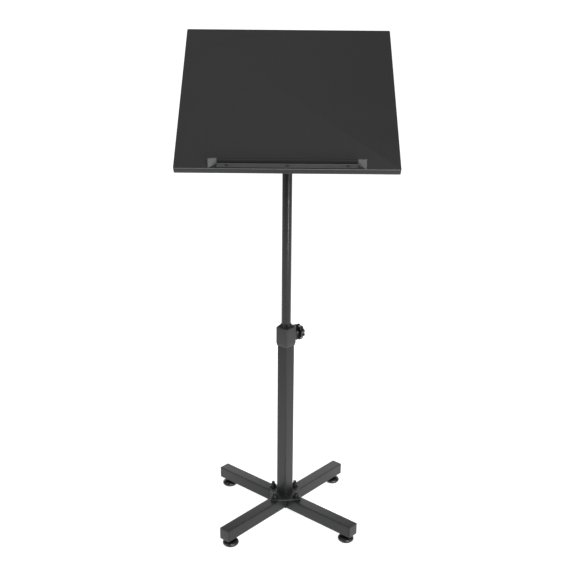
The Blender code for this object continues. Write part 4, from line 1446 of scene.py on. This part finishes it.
class StandFinish(bpy.types.PropertyGroup):
    """Colours and gloss."""

    frame_colour: colour("Frame colour", "Powder coat on the steel", (0.020, 0.0205, 0.021))
    # The lip's darker colour is painted shade on the stopper's lip, which is the same sheet as its flange.
    post_colour: colour("Post colour", "Powder coat on the post", (0.011, 0.0113, 0.0115))
    lip_shade_colour: colour("Lip colour", "Powder coat on the stopper's lip", (0.005, 0.0051, 0.0052))
    # The lighter coat on the stopper's flange and wings is painted light.
    painted_light_colour: colour("Rubbed coat", "Coat on the stopper's flange and wings", (0.075, 0.0755, 0.076))
    frame_roughness: factor("Frame roughness", "Roughness of the base and column", 0.46)
    post_roughness: factor("Post roughness", "Roughness of the post, welds and stopper's flange", 0.26)
    board_colour: colour("Board colour", "Laminate on the board", (0.017, 0.017, 0.0175))
    board_roughness: factor("Board roughness", "Roughness of the board's faces", 0.56)
    band_roughness: factor("Edge roughness", "Roughness of the board's edge band", 0.30)
    # The light arris colour is a painted highlight along the board's rounded edges; the roughness below is for the
    # same edges.
    arris_highlight_colour: colour("Arris colour", "Rubbed edges of the board", (0.090, 0.090, 0.092))
    arris_roughness: factor("Arris roughness", "Roughness of the board's rubbed edges", 0.26)
    plastic_colour: colour("Plastic colour", "Collar and end plugs", (0.016, 0.016, 0.017))
    knob_colour: colour("Knob colour", "Knobs and feet", (0.006, 0.006, 0.0065))
    hardware_colour: colour("Hardware colour", "Blackened bolts and nuts", (0.040, 0.040, 0.042))


class StandStage(bpy.types.PropertyGroup):
    """Floor, light and camera."""

    floor_colour: colour("Floor colour", "Pale sweep under the stand", (0.60, 0.60, 0.60))
    floor_glow: factor("Floor glow", "Light that the sweep gives by itself", 0.85)
    overhead_power: power("Overhead", "Power of the soft box above", 7.0)
    front_power: power("Front box", "Power of the soft box behind the camera", 55.0)
    back_power: power("Back box", "Power of the soft box behind", 10.0)
    left_power: power("Left box", "Power of the soft box on the left", 10.0)
    right_power: power("Right box", "Power of the soft box on the right", 12.0)
    strip_power: power("Strip", "Power of the low strip that draws the post's highlight", 20.0)
    world_strength: bpy.props.FloatProperty(
        name="Room light", description="Brightness of the pale surroundings", default=0.22, min=0.0
    )
    camera_location: bpy.props.FloatVectorProperty(
        name="Camera place",
        description="Where the camera stands",
        default=(0.0036, -1.8026, 1.1291),
        size=3,
        subtype="TRANSLATION",
    )
    camera_pitch: angle("Camera pitch", "How far the camera looks down", 17.114)
    camera_roll: angle("Camera roll", "How far the camera leans", 0.50)
    focal_length: bpy.props.FloatProperty(
        name="Focal length",
        description="Lens of the camera, in millimetres",
        default=51.90,
        unit="CAMERA",
    )


class StandOperator:
    """What the stand's operators share."""

    bl_options = {"REGISTER", "UNDO"}

    def execute(self, context):
        """Makes the group's pieces from the scene's sizes."""
        if not FINISHES:
            raise RuntimeError("make the finishes first")
        self.make(context.scene)
        return {"FINISHED"}


class STAND_OT_finishes(bpy.types.Operator):
    """Make every material of the stand"""

    bl_idname = "stand.finishes"
    bl_label = "Finishes"
    bl_options = {"REGISTER", "UNDO"}

    def execute(self, context):
        """Fills the table of finishes."""
        make_finishes(context.scene.stand_finish)
        return {"FINISHED"}


class STAND_OT_base_tubes(StandOperator, bpy.types.Operator):
    """Make the base's square tubes and their welds"""

    bl_idname = "stand.base_tubes"
    bl_label = "Base tubes"

    def make(self, scene):
        make_base_tubes(scene.stand_shape)
        make_base_welds(scene.stand_shape)


class STAND_OT_end_plugs(StandOperator, bpy.types.Operator):
    """Make the plugs in the tube ends"""

    bl_idname = "stand.end_plugs"
    bl_label = "End plugs"

    def make(self, scene):
        make_end_plugs(scene.stand_shape)


class STAND_OT_flange(StandOperator, bpy.types.Operator):
    """Make the column's flange plate"""

    bl_idname = "stand.flange"
    bl_label = "Flange plate"

    def make(self, scene):
        make_flange_plate(scene.stand_shape)


class STAND_OT_base_bolts(StandOperator, bpy.types.Operator):
    """Make the base's bolts and lock nuts"""

    bl_idname = "stand.base_bolts"
    bl_label = "Base bolts"

    def make(self, scene):
        make_base_bolts(scene.stand_shape)


class STAND_OT_feet(StandOperator, bpy.types.Operator):
    """Make the four levelling feet"""

    bl_idname = "stand.feet"
    bl_label = "Levelling feet"

    def make(self, scene):
        make_feet(scene.stand_shape)


class STAND_OT_column(StandOperator, bpy.types.Operator):
    """Make the square column and the collar on it"""

    bl_idname = "stand.column"
    bl_label = "Column and collar"

    def make(self, scene):
        make_column(scene.stand_shape)
        make_collar(scene.stand_shape)


class STAND_OT_clamp(StandOperator, bpy.types.Operator):
    """Make the height clamp's knob and stud"""

    bl_idname = "stand.clamp"
    bl_label = "Height clamp"

    def make(self, scene):
        make_clamp(scene.stand_shape)


class STAND_OT_post(StandOperator, bpy.types.Operator):
    """Make the sliding post and the head welded on it"""

    bl_idname = "stand.post"
    bl_label = "Post and head"

    def make(self, scene):
        make_post(scene.stand_shape)
        make_head_yoke(scene.stand_shape)


class STAND_OT_bracket(StandOperator, bpy.types.Operator):
    """Make the bracket under the board and its screws"""

    bl_idname = "stand.bracket"
    bl_label = "Board bracket"

    def make(self, scene):
        make_tilt_bracket(scene.stand_shape)


class STAND_OT_pivot(StandOperator, bpy.types.Operator):
    """Make the pivot bolt, its washers and the tilt knob"""

    bl_idname = "stand.pivot"
    bl_label = "Tilt pivot"

    def make(self, scene):
        make_tilt_pivot(scene.stand_shape)


class STAND_OT_board(StandOperator, bpy.types.Operator):
    """Make the board"""

    bl_idname = "stand.board"
    bl_label = "Board"

    def make(self, scene):
        make_board(scene.stand_shape)


class STAND_OT_stopper(StandOperator, bpy.types.Operator):
    """Make the edge stopper and its screws"""

    bl_idname = "stand.stopper"
    bl_label = "Edge stopper"

    def make(self, scene):
        make_edge_stopper(scene.stand_shape)


class STAND_OT_inner_parts(StandOperator, bpy.types.Operator):
    """Give the parts inside the tubes their materials"""

    bl_idname = "stand.inner_parts"
    bl_label = "Inner parts"

    def make(self, scene):
        paint_inner_parts()


class STAND_OT_stage(StandOperator, bpy.types.Operator):
    """Set the floor, the lights and the camera"""

    bl_idname = "stand.stage"
    bl_label = "Stage"

    def make(self, scene):
        scene.view_settings.view_transform = "Standard"
        make_floor(scene.stand_stage)
        make_lights(scene.stand_stage)
        make_camera(scene.stand_stage)


OPERATORS = (
    STAND_OT_finishes,
    STAND_OT_base_tubes,
    STAND_OT_end_plugs,
    STAND_OT_flange,
    STAND_OT_base_bolts,
    STAND_OT_feet,
    STAND_OT_column,
    STAND_OT_clamp,
    STAND_OT_post,
    STAND_OT_bracket,
    STAND_OT_pivot,
    STAND_OT_board,
    STAND_OT_stopper,
    STAND_OT_inner_parts,
    STAND_OT_stage,
)


class STAND_PT_panel(bpy.types.Panel):
    """Sizes, finishes and the steps that build the stand"""

    bl_idname = "STAND_PT_panel"
    bl_label = "Music Stand"
    bl_space_type = "VIEW_3D"
    bl_region_type = "UI"
    bl_category = "Stand"

    def draw(self, context):
        """Lists the settings, then the operators in order."""
        for title, settings in (
            ("Shape", context.scene.stand_shape),
            ("Finish", context.scene.stand_finish),
            ("Stage", context.scene.stand_stage),
        ):
            box = self.layout.box()
            box.label(text=title)
            for key in type(settings).__annotations__:
                box.prop(settings, key)
        for operator in OPERATORS:
            self.layout.operator(operator.bl_idname)


GROUPS = {"stand_shape": StandShape, "stand_finish": StandFinish, "stand_stage": StandStage}


def register():
    """Registers the classes and the scene's settings."""
    for key, group in GROUPS.items():
        bpy.utils.register_class(group)
        setattr(bpy.types.Scene, key, bpy.props.PointerProperty(type=group))
    for kind in (*OPERATORS, STAND_PT_panel):
        bpy.utils.register_class(kind)


def unregister():
    """Undoes register."""
    for kind in (STAND_PT_panel, *reversed(OPERATORS)):
        bpy.utils.unregister_class(kind)
    for key, group in GROUPS.items():
        delattr(bpy.types.Scene, key)
        bpy.utils.unregister_class(group)


def main():
    """Builds the stand on its stage."""
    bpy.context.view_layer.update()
    register()
    for operator in OPERATORS:
        group, step = operator.bl_idname.split(".")
        getattr(getattr(bpy.ops, group), step)()


if __name__ == "__main__":
    main()
